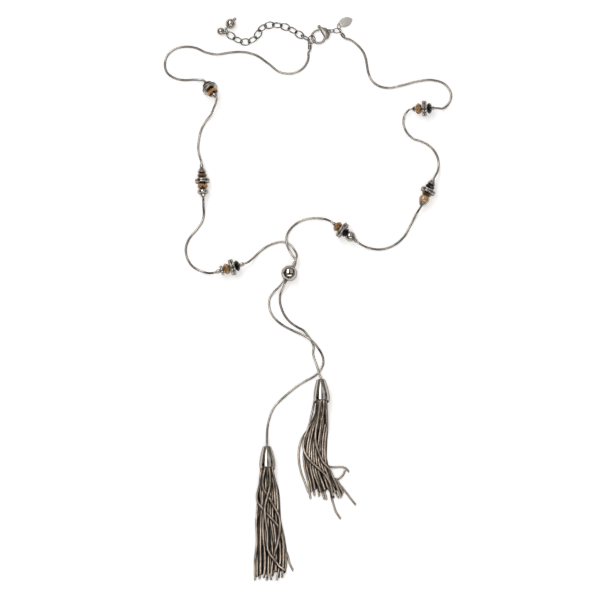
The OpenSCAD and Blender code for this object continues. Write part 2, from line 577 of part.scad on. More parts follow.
// Ball on a headed pin that ends in an eye; the small one has a disc above it
module drop(d, disc) {
    r = d[3];
    neck = d[4] - drop_eye_r;
    color(STEEL) translate(d[0]) rotate([0, -d[2], d[1]]) {
        sphere(r, $fn = fine);
        rotate([0, 90, 0]) translate([0, 0, -neck]) cylinder(r = 0.4, h = neck, $fn = 24);
        translate([-d[4], 0, 0]) wire_ring(drop_eye_r, drop_eye_wire_r);
        if (disc) translate([-r - 0.15, 0, 0]) rotate([0, 90, 0])
            cylinder(r = drop_disc_r, h = 0.5, center = true, $fn = fine);
        if (!disc) translate([r + 0.7 * drop_tip_r, 0, 0]) sphere(drop_tip_r, $fn = 32);
    }
}

PIECE_NODES = [for (s = STATIONS) for (name = s[5]) str(s[0], "_", name)];

snake_chain(LEFT_ROUTE);  // left_chain
snake_chain(RIGHT_ROUTE);  // right_chain
slider_ball();
bell_cap(CAP_UPPER);  // upper_cap
bell_cap(CAP_LOWER);  // lower_cap
tassel(CAP_UPPER, UPPER_SECTIONS, UPPER_STRAYS);  // upper_tassel
tassel(CAP_LOWER, LOWER_SECTIONS, LOWER_STRAYS);  // lower_tassel
clasp_body();
clasp_lever();
hook_ring();
tail_ring();
connector_ring();
tag_ring();
tag();
chain_end(END_LEFT);  // left_chain_end
chain_end(END_RIGHT);  // right_chain_end
extension_chain();
drop_ring();
drop(LARGE_DROP, false);  // large_drop
drop(SMALL_DROP, true);  // small_drop
for (s = STATIONS) {
    for (i = [0:len(s[5]) - 1]) {
        station_piece(s, i);
    }
}
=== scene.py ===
"""Lariat necklace of rhodium-tone snake chain, lying flat and seen from above.

Two snake chains run from a lobster clasp through bead stations and one slider ball to two tassels.
The tables below are in millimetres, in the frame of the solids: X to the right, Y away, Z up, floor at 0.
"""
import math

import bmesh
import bpy
import numpy as np
from bpy.props import FloatProperty, FloatVectorProperty, IntProperty, PointerProperty
from mathutils import Matrix, Vector


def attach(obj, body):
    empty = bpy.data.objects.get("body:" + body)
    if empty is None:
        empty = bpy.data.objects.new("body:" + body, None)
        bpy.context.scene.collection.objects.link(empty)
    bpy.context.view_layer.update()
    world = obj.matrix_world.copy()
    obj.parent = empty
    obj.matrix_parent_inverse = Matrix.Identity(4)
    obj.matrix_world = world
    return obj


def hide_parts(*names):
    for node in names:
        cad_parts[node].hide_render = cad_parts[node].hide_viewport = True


bl_info = {
    "name": "Lariat Necklace",
    "version": (1, 0, 0),
    "blender": (4, 5, 0),
    "location": "3D View > Sidebar > Necklace",
    "description": "Builds a lariat necklace of snake chain with bead stations, tassels and a clasp",
    "category": "Add Mesh",
}

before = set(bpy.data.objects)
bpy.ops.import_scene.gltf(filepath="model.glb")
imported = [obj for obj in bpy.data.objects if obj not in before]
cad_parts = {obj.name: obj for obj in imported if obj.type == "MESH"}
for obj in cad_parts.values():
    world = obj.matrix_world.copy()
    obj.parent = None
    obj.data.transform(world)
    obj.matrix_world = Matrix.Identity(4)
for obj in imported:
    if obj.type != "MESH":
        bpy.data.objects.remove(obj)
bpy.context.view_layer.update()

MM = 0.001
BODY = "necklace"
LEVER_BODY = "lever"

# Snake chain: its diameter, and the height of its middle on the floor
CHAIN_D = 1.2
FLOOR_Z = 0.67
# Room under what lies on the floor, the bore of what is threaded on the chain, and the gap between beads
OFF_FLOOR = 0.02
BORE_R = 0.72
BEAD_GAP = 0.1

# Beads: kind, length, diameter at the start, diameter at the end
CRIMP = ("crimp", 1.2, 2, 2)
MIDDLE_CRIMP = ("crimp", 1.7, 2, 2)
LONG_CRIMP = ("crimp", 2.3, 2.2, 2.2)
END_CONE = ("cone", 1.5, 3.4, 2.2)
BLACK_BEAD = ("black", 2.6, 5.9, 5.9)
AMBER_BEAD = ("amber", 3.4, 6.1, 6.1)
DOUBLE_RING = ("ring", 2.5, 8.4, 8.4)

# A station: middle of its double ring, heading, rise, number of its ring, named pieces in the chain's order
STATIONS = {
    "left_top": ((-52, 113.8), -58, 25, 2, (
        ("crimp", CRIMP), ("black_bead", BLACK_BEAD), ("ring", DOUBLE_RING),
        ("amber_bead", AMBER_BEAD), ("cone", END_CONE))),
    "left_middle": ((-56, 63.8), -87, 0, 3, (
        ("crimp", MIDDLE_CRIMP), ("cap", ("cone", 2.6, 2.6, 4.7)), ("brown_bead", ("brown", 3.1, 5.2, 5.2)),
        ("ring", ("ring", 2.4, 7.8, 7.8)), ("amber_bead", ("amber", 3.2, 5.7, 5.7)),
        ("silver_bead", ("disc", 2.5, 5.8, 5.8)), ("cone", END_CONE))),
    "left_low": ((-40.1, 16.8), 17, 0, 3, (
        ("crimp", LONG_CRIMP), ("silver_bead", ("disc", 1.6, 5.3, 5.3)), ("amber_bead", AMBER_BEAD),
        ("ring", ("ring", 2.6, 8.7, 8.7)), ("black_bead", ("black", 2.6, 6.1, 6.1)),
        ("end_crimp", LONG_CRIMP))),
    "right_low": ((18.2, 36.9), 141.5, 0, 4, (
        ("crimp", CRIMP), ("cap", ("cone", 1, 2.2, 3.2)), ("mirror_bead", ("ball", 4, 5.5, 5.5)),
        ("black_bead", ("black", 1.9, 5.2, 5.2)), ("ring", ("ring", 2.6, 8.9, 8.9)),
        ("amber_bead", ("amber", 3.3, 5.8, 5.8)), ("end_crimp", CRIMP))),
    "right_middle": ((63.7, 58.2), -114.5, 0, 3, (
        ("crimp", CRIMP), ("cap", ("cone", 1.9, 3.2, 4.5)), ("black_bead", ("black", 2.6, 5.3, 5.3)),
        ("ring", ("ring", 2.4, 8, 8)), ("brown_bead", ("brown", 1.6, 5.3, 5.3)),
        ("pearl_bead", ("pearl", 3.7, 5.7, 5.7)), ("end_cap", ("cone", 2, 4.4, 2.2)))),
    "right_top": ((61.8, 103), 182.5, 0, 2, (
        ("crimp", CRIMP), ("black_bead", BLACK_BEAD), ("ring", DOUBLE_RING),
        ("amber_bead", AMBER_BEAD), ("cone", END_CONE))),
}

# Slider ball: each chain lies off its axis by the spread, in one bore that ends in two flats
SLIDER_D = 8.5
SLIDER_AT = (-9.9, 13.5, 4.25)
SLIDER_HEADING = -119
SLIDER_SPREAD = 0.72
SLIDER_BORE_R = 1.44
SLIDER_FLAT = 3.91
# Where a straight stretch passes: past a station's ends, on the slider's axis as shares of its radius, and
# on a cap's axis
STATION_RUN_ON = 0.8
SLIDER_RUN = (-1.2, -0.95, 0.95, 1.2)
CAP_RUN = (-1, 0, 3.1)

# Bell caps: middle of the crown and heading of the axis, which leans up towards the mouth
CAP_UPPER = ((6.9, -43.9, 3.03), -88)
CAP_LOWER = ((-21.7, -80.2, 3.03), -88.5)
CAP_LEAN = 8
CAP_L = 12.3
CAP_WALL = 0.6
CAP_TOP_T = 1.1
# The cap's outside, as shares of its length and radii, its rounded crown, as distances and radii, and how
# far apart the points of its wall lie
CAP_OUTLINE = ((0, 2.3), (0.03, 2.5), (0.25, 3.2), (0.5, 3.9), (0.72, 4.3), (0.85, 4.33), (1, 4.05))
CAP_CROWN = ((0, 2.15), (0.12, 2.38))
CAP_STEP = 0.4

# Chain ends: middle of the eye, heading of the tube and the eye's lean
END_LEFT = ((1, 139.15, 1.1), -90, 28)
END_RIGHT = ((17.35, 145.3, 1.25), -55, 90)
END_TUBE_R = 1
END_TUBE_L = 2.2
END_WALL = 0.5
END_EYE_R = 0.95
END_EYE_WIRE_R = 0.25
# The tube's outside, from its closed end over a turned line to its mouth: distance and depth
END_OUTLINE = ((0, 0.15), (0.15, 0), (0.7, 0), (0.8, 0.1), (0.95, 0.1), (1.05, 0), (END_TUBE_L, 0))
# How far the tube overlaps the eye, and how far the chain stays off its closed end and runs on past it
END_OVERLAP = 0.1
END_CLEAR = 0.25
END_RUN_ON = 0.5

# Points of the left chain between its straight stretches, with a height where it leaves the floor
LEFT_CLASP = (
    (0.4, 134.5, 0.8), (0.3, 131.5), (-2, 126.5), (-8, 123), (-14.5, 123.5), (-21, 128.3), (-27.5, 132.8),
    (-33.5, 134.5), (-41.5, 134.3), (-48.5, 133.3), (-54.5, 134.5), (-59.5, 136.8), (-65, 137.5), (-71, 136),
    (-75, 132), (-76, 128), (-75, 123.7), (-71, 120.5), (-66, 119.3), (-60, 119.5, 0.8))
LEFT_A = (
    (-48.7, 106.3, 6.2), (-50, 103.2, 4.1), (-51.5, 100, 2.2), (-54, 97, 1), (-56.5, 92.5), (-57.7, 87.5),
    (-58.2, 81.5, 0.8), (-57.4, 77, 2.2))
LEFT_B = (
    (-55.4, 50, 1.9), (-55.2, 46.5, 0.8), (-55.8, 43), (-58.7, 38.3), (-63, 33), (-64.7, 28), (-64, 22.6),
    (-61, 18), (-56, 15.2, 1.2), (-52.5, 14, 2.6))
LEFT_C = (
    (-29.5, 21.8, 2), (-25.5, 26, 0.8), (-21.5, 29), (-18, 30.5), (-13, 31.3), (-9.5, 29.8, 0.9),
    (-7, 26.3, 2.2), (-5.9, 23.4, 4), (-6.4, 20.8, 5.2))
LEFT_D = (
    (-14.8, 6.8, 3.4), (-18, 4, 1.4), (-20.3, 0.5), (-20.5, -3.6), (-19.5, -7.2), (-17.3, -10.4),
    (-13.3, -13.8), (-8, -16.7), (-2.4, -19.5, 1.7), (1.7, -22.3, 2.3), (5.7, -26.7, 1.2), (7.8, -30.8),
    (8.1, -34.6), (6.8, -37.8), (4.8, -40.2), (2.4, -42), (-0.7, -43.7), (-5.7, -46.8), (-10.7, -50.9),
    (-14.3, -54.2), (-17.6, -57.8), (-20.2, -63.5), (-21.5, -70, 0.8), (-21.7, -75, 1.7))
# Points of the right chain
RIGHT_CLASP = (
    (22.4, 141.3, 0.7), (26.4, 138.3), (29.2, 134.9), (30.6, 131.5), (31.3, 127.7), (32, 123.8),
    (34.2, 118.8), (38.2, 115.9), (42.5, 115), (49.5, 116.3), (57.8, 118.5), (66, 119.3), (73, 116.8),
    (76.1, 111), (74.8, 106.6), (72.3, 104, 1.3))
RIGHT_A = (
    (52.4, 101.2, 2.6), (50.9, 98.4, 1.1), (50.7, 95.8), (51.4, 93), (53.3, 89.8), (56.3, 87.2), (60, 86),
    (65.8, 82.3), (68.7, 77.5), (69.4, 73, 0.9), (68.9, 69.6, 2.2))
RIGHT_B = (
    (57.7, 46.5, 2), (54.5, 40.5, 0.8), (50.8, 34), (45.7, 29.6), (38.6, 27.3), (32.6, 27.9, 1.1),
    (28.9, 29, 2.9))
RIGHT_C = (
    (9.2, 43.4, 2), (4, 44.2, 0.8), (-0.6, 43.7), (-5, 42), (-9, 38.6, 0.9), (-11.3, 34, 1.8),
    (-11.4, 31, 2.3), (-10.8, 28.4, 2.2), (-9.4, 25.6, 2), (-7.8, 23.2, 2.5), (-6.6, 20.8, 3.5))
RIGHT_D = (
    (-13.1, 6.2, 2.5), (-14.5, 3.3, 1.1), (-14.9, -0.6), (-14, -4.7), (-12.6, -8), (-9.5, -12),
    (-5.8, -14.7), (-2.2, -16.8), (0.2, -19.8), (1.8, -22.2), (3, -25.4), (2.7, -29), (3.6, -32.5),
    (4.7, -35.8, 1.2), (5.7, -39.4, 2.4), (6.3, -41.4, 2.7))

# Tassels: left edge and right edge of the strands at each Y
UPPER_EDGES = (
    (-50, 4, 10.4), (-56, 4.2, 10.3), (-61.5, 3.7, 10.6), (-67.5, 2, 10.8), (-71.5, -0.2, 10.7),
    (-76, -1.9, 10.3), (-80.5, -2.9, 10.1), (-85, -2.9, 10), (-90.5, -2.4, 11), (-95, -1.4, 13.1),
    (-99, -0.2, 16.3), (-103, 0.1, 18.9), (-109, 0.9, 21.4))
LOWER_EDGES = (
    (-86, -24.8, -18.4), (-92.5, -24.8, -18.3), (-98, -26, -16), (-103.5, -27, -14.6),
    (-109, -27.1, -14.5), (-114.5, -27.5, -14.5), (-121.5, -28, -13.6), (-128, -28.4, -12.2),
    (-134.5, -28.5, -11.2), (-140.5, -28.6, -10.6), (-146.5, -28.6, -11.4), (-153, -28.5, -12.9))
# Strands that cross over the others, by the places that they pass
UPPER_CROSSINGS = (
    ((4.2, -52), (0.6, -68), (-2.4, -80), (-1.5, -83.5), (1.6, -88), (5.3, -91.4), (8, -94), (11.2, -98.5),
     (13.2, -106.5)),
    ((7.2, -51), (5.5, -64), (4, -76), (6, -84), (8.2, -88.5), (11.3, -92), (14, -98), (17.6, -107)),
)
LOWER_CROSSINGS = (
    ((-24.3, -88), (-25.6, -100), (-26.8, -109), (-23.5, -114), (-20, -118), (-16, -122.5), (-13.8, -128),
     (-13, -140), (-13.6, -150)),
    ((-22, -88), (-23.3, -103), (-20.4, -108), (-17.5, -113), (-15.2, -118), (-15.6, -130), (-18.5, -141),
     (-19.5, -151)),
    ((-21, -88), (-20, -100), (-22.8, -114), (-21.4, -127), (-20.8, -136.5), (-17, -142), (-14, -145.5),
     (-11.9, -146.6)),
)
# Strands that lie apart from the others, with their heights
UPPER_STRAYS = (
    ((5, -52, 3.2), (5.2, -58, 2.9), (4, -62, 1.7), (0.8, -69, 0.62), (-3.3, -75.5, 0.62),
     (-4.8, -81.5, 0.62), (-4.7, -88, 0.62), (-3.4, -94, 0.62), (-1.6, -99, 0.62), (0.2, -104, 0.62)),
    ((8, -81, 1.9), (9, -84, 1.4), (10.8, -90, 0.85), (14, -90.6, 0.75), (17.4, -90.4, 0.65),
     (20, -91.2, 0.66), (21.8, -93, 0.62)),
    ((19.6, -92.3, 0.65), (18.4, -94.9, 0.62), (16.1, -96.9, 0.7), (13.8, -98, 1), (11.5, -100, 1.8)),
    ((12, -103, 1.6), (12.5, -107, 0.7), (13.5, -110.5, 0.62), (14.8, -114.5, 0.62), (17.3, -118.3, 0.62)),
    ((14.5, -97, 1.8), (16.6, -99.5, 0.95), (20.3, -104.3, 0.7), (23, -108, 0.62), (25.3, -110.8, 0.62)),
)
LOWER_STRAYS = (
    ((-12.6, -133, 1.6), (-11.6, -136, 0.9), (-10.8, -138, 0.62), (-9.6, -142.5, 0.62), (-7.8, -146.3, 0.62)),
)

# Rings: middle, heading, lean from the floor, radius to the middle of the wire, wire radius
RINGS = {
    "hook_ring": ((1.9, 141.15, 1.6), 44, 37, 2.15, 0.28),
    "tail_ring": ((12.6, 145.85, 1.65), 3, 72, 1.45, 0.23),
    "tag_ring": ((16.45, 148.2, 1.5), 83, 58, 1.5, 0.22),
    "drop_ring": ((-43.1, 145.6, 1.8), 105, 70, 1.55, 0.22),
}
# How much longer than wide a bent ring comes out
RING_OVAL = 0.02
# The clasp's place, and rows of balls, each x, y and radius, whose hulls fill out its shoulders
CLASP_AT = (5.6, 142.8, 1.3)
CLASP_HEADING = 27
CLASP_SHOULDERS = (
    ((5.1, 1.9, 0.85), (4.3, 0.2, 1.2), (5.8, 1.1, 0.45), (4.75, 2.75, 0.3)),
    ((3.8, -2.5, 0.9), (4.9, -1.6, 0.9), (4.3, 0.2, 1.2), (5.8, -1.1, 0.45)))
# What their rounding leaves alone: the lever's pivot and the eye, each x, y and radius, and the hook up
# to an x
CLASP_SHARP = ((3.3, 3, 1.9), (6.3, 0, 1.2))
CLASP_HOOK_END = 2.9
DOME_ROUNDS = 60
CAST_ROUNDS = 8
# The oval connector: middle, heading, lean, outer length, outer width, wire radius
CONNECTOR = ((15.5, 146.05, 1.4), 4, 0, 4.8, 3, 0.25)
# The extension chain's links: width, wire radius and lean where they lie, and their full outer length, outer
# width and wire radius as they are seen
LINK_W = 4.2
LINK_WIRE_R = 0.3
LINK_LEAN = 36
LINK_SEEN = (5.85, 4.4, 0.36)
# The middle of each link; the first has its own height and lean
LINKS = (
    (-1.4, 142, 2.35, 58), (-4.5, 143.9), (-8.2, 146.3), (-12.1, 148.1), (-16.3, 149), (-20.5, 149),
    (-24.3, 147.5), (-26.5, 144.1), (-29.4, 141.1), (-33.3, 139.9), (-37.3, 141), (-40.9, 143.3))
# Drops: middle of the ball, heading from its eye to its far end, slope, ball radius, distance to the eye
LARGE_DROP = ((-41.1, 149.6, 2.72), 46, 12, 2.7, 3.6)
SMALL_DROP = ((-46.35, 145.55, 2.06), 157, -4, 2.04, 3.65)
DROP_TIP_R = 0.88
DROP_DISC_R = 1.1
DROP_EYE_R = 0.7
DROP_EYE_WIRE_R = 0.2
DROP_STEM_R = 0.4
# The stem's narrower end at the eye, how deep its other end and the disc reach into the ball, how far the
# disc stands out of it, and how far out the tip's middle lies as a share of the tip's radius
DROP_NECK_R = 0.32
DROP_NECK_L = 0.1
DROP_SINK = 0.1
DROP_DISC_OUT = 0.4
DROP_TIP_OUT = 0.7

# Camera: the photograph's frame is 318 mm wide and is seen 12 degrees off straight down
VIEW_ELEVATION = 78
VIEW_DISTANCE = 10.0
VIEW_WIDTH = 0.318
VIEW_TARGET = (-0.0042, 0, 0)
FILM_WIDTH = 36
# Half the width of the sweep
FLOOR_SIZE = 3000
# Long soft boxes that hang level over the sweep, in metres: name, place, width, depth, power
SOFT_BOXES = (
    ("key_box", (-0.62, 1.0, 1.45), 0.9, 2.2, 20),
    ("fill_box", (1.2, 0.9, 1.45), 1.7, 2.2, 7),
    ("front_box", (0.1, -1.2, 1.3), 1.8, 0.8, 11))

# Tassels: rows of points along a strand, room for a strand, and where on the cap's axis strands start
ROW_STEP = 1.5
STRAND_GAP = 1.22
STRAND_START = 5.4
STRAND_SIDES = 8
# In the cap they are packed in a spiral, inside its wall, and spread from there to lie in a low heap
PACK_TURN = 2.4
PACK_R = 2.7
HOLE_MOST_R = 2.6
WALL_ROOM = 0.05
NO_WALL = 99
SPREAD_FROM = 5
SPREAD_OVER = 14
FAN_SHARE = 0.97
HEAP_Z = 1.5
HEAP_RISE = 0.7
# Each strand has two waves, which grow to full size along its fall
WAVE_LENGTHS = (38, 90)
WAVE_FROM = 10
WAVE_OVER = 25
# Rounds in which strands push apart and settle, then only push apart, and what one round does
SETTLE_ROUNDS = 235
PUSH_ROUNDS = 25
PUSH = 0.3
PULL = 0.03
SINK = 0.02
STIFFNESS = 0.22
# How far past the cap's mouth strands start to sink, and how high over its middle a crossing one may lie,
# up to how far past it
SINK_FROM = 2
MOUTH_RISE = 2
MOUTH_REACH = 0.5
DRAPE_ROUNDS = 6
# Each strand stops fewer than this many rows short, and its end is shifted by up to this much
STOP_ROWS = 4
STOP_SHIFT = (-0.4, 0.9)
# A point is buried by strands this much higher, and less by those that lie further to the side; buried points
# get painted shade
COVER_FROM = 0.25
COVER_SPAN = 0.5
COVER_REACH = 1.9
COVER_FALL = 1.5

# Glass beads: rings as shares of the length and the diameter, each turned by half a step from the last
GLASS_SIDES = 9
GLASS_ROWS = ((0.02, 0.3), (0.2, 0.425), (0.42, 0.5), (0.58, 0.5), (0.8, 0.425), (0.98, 0.3))
GLASS_FINISHES = {
    "black": "faceted_jet_glass", "amber": "faceted_amber_glass", "brown": "faceted_brown_glass"}
# A facet's painted light and shade: a share for its nearness to the belt, plus chance, less a drop
BELT_SHARE = 0.6
BELT_FALL = 2.6
PANE_DROP = 0.3

# Metal beads: a disc's outline as shares of its length and its diameter
DISC_OUTLINE = ((0, 0.36), (0.1, 0.44), (0.32, 0.5), (0.68, 0.5), (0.9, 0.44), (1, 0.36))
# How much of a crimp's or cone's length the bevel at each end takes
BEVEL_SHARE = 0.12
# Double rings: depth of the groove, a rim's share of the length, and the stones' pitch and depth in it
RING_GROOVE = 0.45
RIM_SHARE = 0.4
STONE_PITCH = 1.15
STONE_SINK = 0.05
# A rim from its hub to the groove: height, more height as a share of the length, depth from its edge
RIM_OUTLINE = (
    (0.15, 0, 1.5), (0.15, 0, 0.95), (0, 0, 0.8), (0, 0.05, 0.3), (0, 0.2, 0), (0, 0.34, 0),
    (0, RIM_SHARE, 0.1))
# How far the groove's painted shade may reach into the rims and up along them
GROOVE_REACH = 0.1
GROOVE_RISE = 0.3
# A set stone: its sides, and how much of its width its table takes
STONE_SIDES = 8
TABLE_SHARE = 0.55

# Sides of turned pieces, and of wire round itself and along a ring
LARGE_SIDES = 72
RING_SIDES = 64
DROP_SIDES = 56
BEAD_SIDES = 40
TIP_SIDES = 32
STEM_SIDES = 20
WIRE_SIDES = 12
WIRE_STEPS = 40
# Points along a ball's outline, and radii that round off the edges of turned pieces
SLIDER_STEPS = 40
DROP_STEPS = 32
BEAD_STEPS = 24
TIP_STEPS = 20
RIM_EDGE_R = 0.5
BEAD_EDGE_R = 0.25
SLIDER_EDGE_R = 0.2
CAP_EDGE_R = 0.18
DISC_EDGE_R = 0.12
TUBE_EDGE_R = 0.1
# Degrees from which an edge stays sharp and from which a corner is straight, the most of an edge that a
# corner takes, and lengths that count as none
SHARP_ANGLE = 35
STRAIGHT_ANGLE = 172
CUT_SHARE = 0.45
SAME_PLACE = 1e-6
ON_AXIS = 1e-5
MERGE_MM = 0.0005


def linear(code):
    """Linear red, green and blue of an sRGB hex colour."""
    values = [int(code[i:i + 2], 16) / 255 for i in (1, 3, 5)]
    return tuple(v / 12.92 if v <= 0.04045 else ((v + 0.055) / 1.055) ** 2.4 for v in values)


def length_property(name, description, default_mm, least_mm=0.0):
    """A property for a length, whose default and least value are given in millimetres."""
    return FloatProperty(
        name=name, description=description, default=default_mm * MM, min=least_mm * MM,
        subtype="DISTANCE", unit="LENGTH", precision=5)


def colour_property(name, description, code):
    """A property for a colour, whose default is given as sRGB hex."""
    return FloatVectorProperty(
        name=name, description=description, default=linear(code), size=3, min=0, max=1, subtype="COLOR")


# Sizes and colours that a user would change
class ChainSizes(bpy.types.PropertyGroup):
    """Snake chain"""

    diameter: length_property("Diameter", "Thickness of the snake chain", CHAIN_D, 0.5)
    rib_pitch: length_property("Rib pitch", "Distance from one rib to the next", 0.6, 0.3)
    rib_slant: FloatProperty(
        name="Rib slant", description="How far a rib leans, as a share of its distance from the middle",
        default=0.5, min=0, max=1.5)
    groove: FloatProperty(
        name="Groove depth", description="Depth of the groove between ribs, as a share of the radius",
        default=0.05, min=0, max=0.3)
    sides: IntProperty(name="Sides", description="Sides of a rib", default=12, min=6, max=24)


class TasselSizes(bpy.types.PropertyGroup):
    """Tassels"""

    strands: IntProperty(
        name="Strands", description="Strands of a tassel besides the crossing ones", default=20, min=8,
        max=30)
    wander: length_property("Wander", "How far a strand strays from a straight line", 0.8)
    seed: IntProperty(name="Seed", description="Seed of the strands' lie", default=7, min=0)


class StoneSizes(bpy.types.PropertyGroup):
    """Stones of the double rings"""

    width: length_property("Stone width", "Width across a set stone", 0.95, 0.4)
    height: length_property("Stone height", "Height of a set stone over its seat", 0.35, 0.1)


class Finishes(bpy.types.PropertyGroup):
    """Colours"""

    rhodium: colour_property("Rhodium plate", "Colour of the polished metal", "#c2bbb3")
    sheet: colour_property("Tag sheet", "Colour of the tag's satin metal", "#e0dad3")
    chain: colour_property("Snake chain", "Colour of the chain's ribs", "#e2d7cb")
    tassel: colour_property("Tassel chain", "Colour of the tassel strands' ribs", "#eedcca")
    amber: colour_property("Amber glass", "Colour of the amber beads", "#8c6942")
    brown: colour_property("Brown glass", "Colour of the smoky brown beads", "#62442a")
    jet: colour_property("Jet glass", "Colour of the black beads", "#0f0b09")
    pearl: colour_property("Pearl", "Colour of the champagne pearl", "#bb9b74")


# Nodes
def add_node(tree, kind, inputs=None, stops=(), **settings):
    """A node with its settings. An input gets a value, a socket or the first output of a node."""
    node = tree.nodes.new(kind)
    for key, value in settings.items():
        setattr(node, key, value)
    for key, value in (inputs or {}).items():
        if isinstance(value, bpy.types.Node):
            value = next(socket for socket in value.outputs if socket.enabled)
        if isinstance(value, bpy.types.NodeSocket):
            tree.links.new(value, node.inputs[key])
        else:
            node.inputs[key].default_value = value
    for i, (position, colour) in enumerate(stops):
        node.color_ramp.elements[i].position = position
        node.color_ramp.elements[i].color = (*colour, 1)
    return node


def new_material(name):
    """An empty material and its tree."""
    material = bpy.data.materials.new(name)
    material.use_nodes = True
    material.node_tree.nodes.clear()
    return material, material.node_tree


def surfaced(material, inputs):
    """The material with a surface shader of these inputs."""
    shader = add_node(material.node_tree, "ShaderNodeBsdfPrincipled", inputs)
    add_node(material.node_tree, "ShaderNodeOutputMaterial", {"Surface": shader})
    return material


def surface_noise(tree, size_mm, detail):
    """Noise on the piece's own coordinates with features of a real size in millimetres."""
    place = add_node(tree, "ShaderNodeTexCoord")
    return add_node(tree, "ShaderNodeTexNoise", {
        "Vector": place.outputs["Object"], "Scale": 1 / (size_mm * MM), "Detail": detail})


def mottled(tree, factor, low, high, roughness, start=0.3, end=0.7):
    """Shader inputs that follow a factor: a colour from low to high, and a roughness."""
    tone = add_node(tree, "ShaderNodeValToRGB", {"Fac": factor}, stops=((start, low), (end, high)))
    gloss = add_node(tree, "ShaderNodeMapRange", {
        "Value": factor, "To Min": roughness[0], "To Max": roughness[1]})
    return {"Base Color": tone, "Roughness": gloss}


def shaded(colour, share):
    """A colour times a share."""
    return tuple(min(1, c * share) for c in colour)


# Plated metal, and its dark, warm colour at grazing angles, which paints shade along every edge
PLATED = {"Metallic": 1, "Specular Tint": (*linear("#7d7873"), 1)}


def polished_rhodium(name, colour, roughness):
    # Rhodium flash over a polished brass casting: a cool white mirror with a warm cast, and the slight
    # waviness of hand buffing that makes reflections wander. The waves are about 1.5 mm long.
    material, tree = new_material(name)
    waves = surface_noise(tree, 1.5, 2)
    haze = surface_noise(tree, 0.25, 4)
    bump = add_node(tree, "ShaderNodeBump", {"Height": waves, "Strength": 0.25, "Distance": 0.04 * MM})
    tone = mottled(tree, haze, shaded(colour, 0.9), colour, roughness)
    return surfaced(material, tone | PLATED | {"Normal": bump})


def satin_rhodium(name, colour, roughness):
    # Rhodium plate over tumbled castings: a soft grey gradient in place of a mirror, with fine grain
    # from tumbling, drawn 0.15 mm across.
    material, tree = new_material(name)
    grain = surface_noise(tree, 0.15, 3)
    return surfaced(material, mottled(tree, grain, shaded(colour, 0.94), colour, roughness) | PLATED)


def oxidised_groove(name):
    # The seat of the stones between the rims: painted shade of the groove, dark metal blotched
    # # in spots half a millimetre across.
    material, tree = new_material(name)
    blotch = surface_noise(tree, 0.5, 3)
    tone = mottled(tree, blotch, linear("#37322d"), linear("#7d766e"), (0.35, 0.5))
    return surfaced(material, tone | {"Metallic": 1})


def chain_rhodium(name, colour, shares, roughness, patch_mm, shade_share):
    # Plated brass snake chain: a painted highlight along the top of the ribs, and painted shade that stays
    # dark in
    # # the grooves, down the flanks and where a strand lies under others. The colour is painted lighter and
    # darker in
    # # random patches some millimetres long, which read as the slow reflected streaks of a polished chain.
    material, tree = new_material(name)
    groove, crown, buried = (
        add_node(tree, "ShaderNodeAttribute", attribute_name=key).outputs["Fac"]
        for key in ("groove", "crown", "buried"))
    patches = surface_noise(tree, patch_mm, 2)
    # The chain's own colour in random patches painted lighter and darker, as painted reflection streaks
    plate_and_painted_streaks = add_node(tree, "ShaderNodeValToRGB", {"Fac": patches}, stops=(
        (0.4, shaded(colour, shares[0])), (0.6, shaded(colour, shares[1]))))
    # Painted shade down the flanks and painted highlight on top, from the crown
    flank_shade = add_node(tree, "ShaderNodeValToRGB", {"Fac": crown}, stops=((0.25, (1, 1, 1)), (0.8, (0, 0, 0))))
    flank_and_groove_shade = add_node(tree, "ShaderNodeMath", {0: flank_shade, 1: groove}, operation="MAXIMUM")
    painted_shade = add_node(tree, "ShaderNodeMath", {0: flank_and_groove_shade, 1: buried}, operation="MAXIMUM")
    share = add_node(tree, "ShaderNodeMath", {0: painted_shade, 1: shade_share}, operation="MULTIPLY")
    # The dark colour is painted shade, mixed in where the grooves, the flanks and buried points call for it
    tone = add_node(tree, "ShaderNodeMix", {
        "Factor": share, "A": plate_and_painted_streaks, "B": (*linear("#1f1914"), 1)}, data_type="RGBA")
    gloss = add_node(tree, "ShaderNodeMapRange", {
        "Value": groove, "To Min": roughness[0], "To Max": roughness[1]})
    return surfaced(material, PLATED | {"Base Color": tone, "Roughness": gloss})


def glass(name, colour, shares, transmission, glint):
    # Fire-polished glass: painted light brightens the belt, painted shade darkens the ends towards the dark
    # bore,
    # # each facet is painted a random pane of light and shade, and the polish gives every facet a sharp
    # glint.
    material, tree = new_material(name)
    painted_pane = add_node(tree, "ShaderNodeAttribute", attribute_name="painted_pane").outputs["Fac"]
    tone = mottled(
        tree, painted_pane, shaded(colour, shares[0]), shaded(colour, shares[1]), (0.02, 0.07), 0, 1)
    return surfaced(material, tone | {
        "IOR": 1.54, "Specular IOR Level": glint, "Transmission Weight": transmission})


def foil_crystal(name):
    # Foil-backed crystal chatons: clear cut glass over silver foil, with painted flashes, white or dark in
    # random flecks.
    material, tree = new_material(name)
    painted_flashes = surface_noise(tree, 0.4, 1)
    tone = mottled(tree, painted_flashes, linear("#55524f"), linear("#d9d7d4"), (0.03, 0.1), 0.42, 0.58)
    return surfaced(material, tone | {"Metallic": 0.85, "Coat Weight": 1})


def glass_pearl(name, colour):
    # Dipped glass pearl: a soft champagne body under clear lacquer, with a painted sheen that turns
    # # paler in slow patches about 2 mm across.
    material, tree = new_material(name)
    painted_sheen = surface_noise(tree, 2, 2)
    tone = mottled(tree, painted_sheen, shaded(colour, 0.75), shaded(colour, 1.35), (0.18, 0.3))
    return surfaced(material, tone | {"Metallic": 0.35, "Coat Weight": 0.8, "Coat Roughness": 0.05})


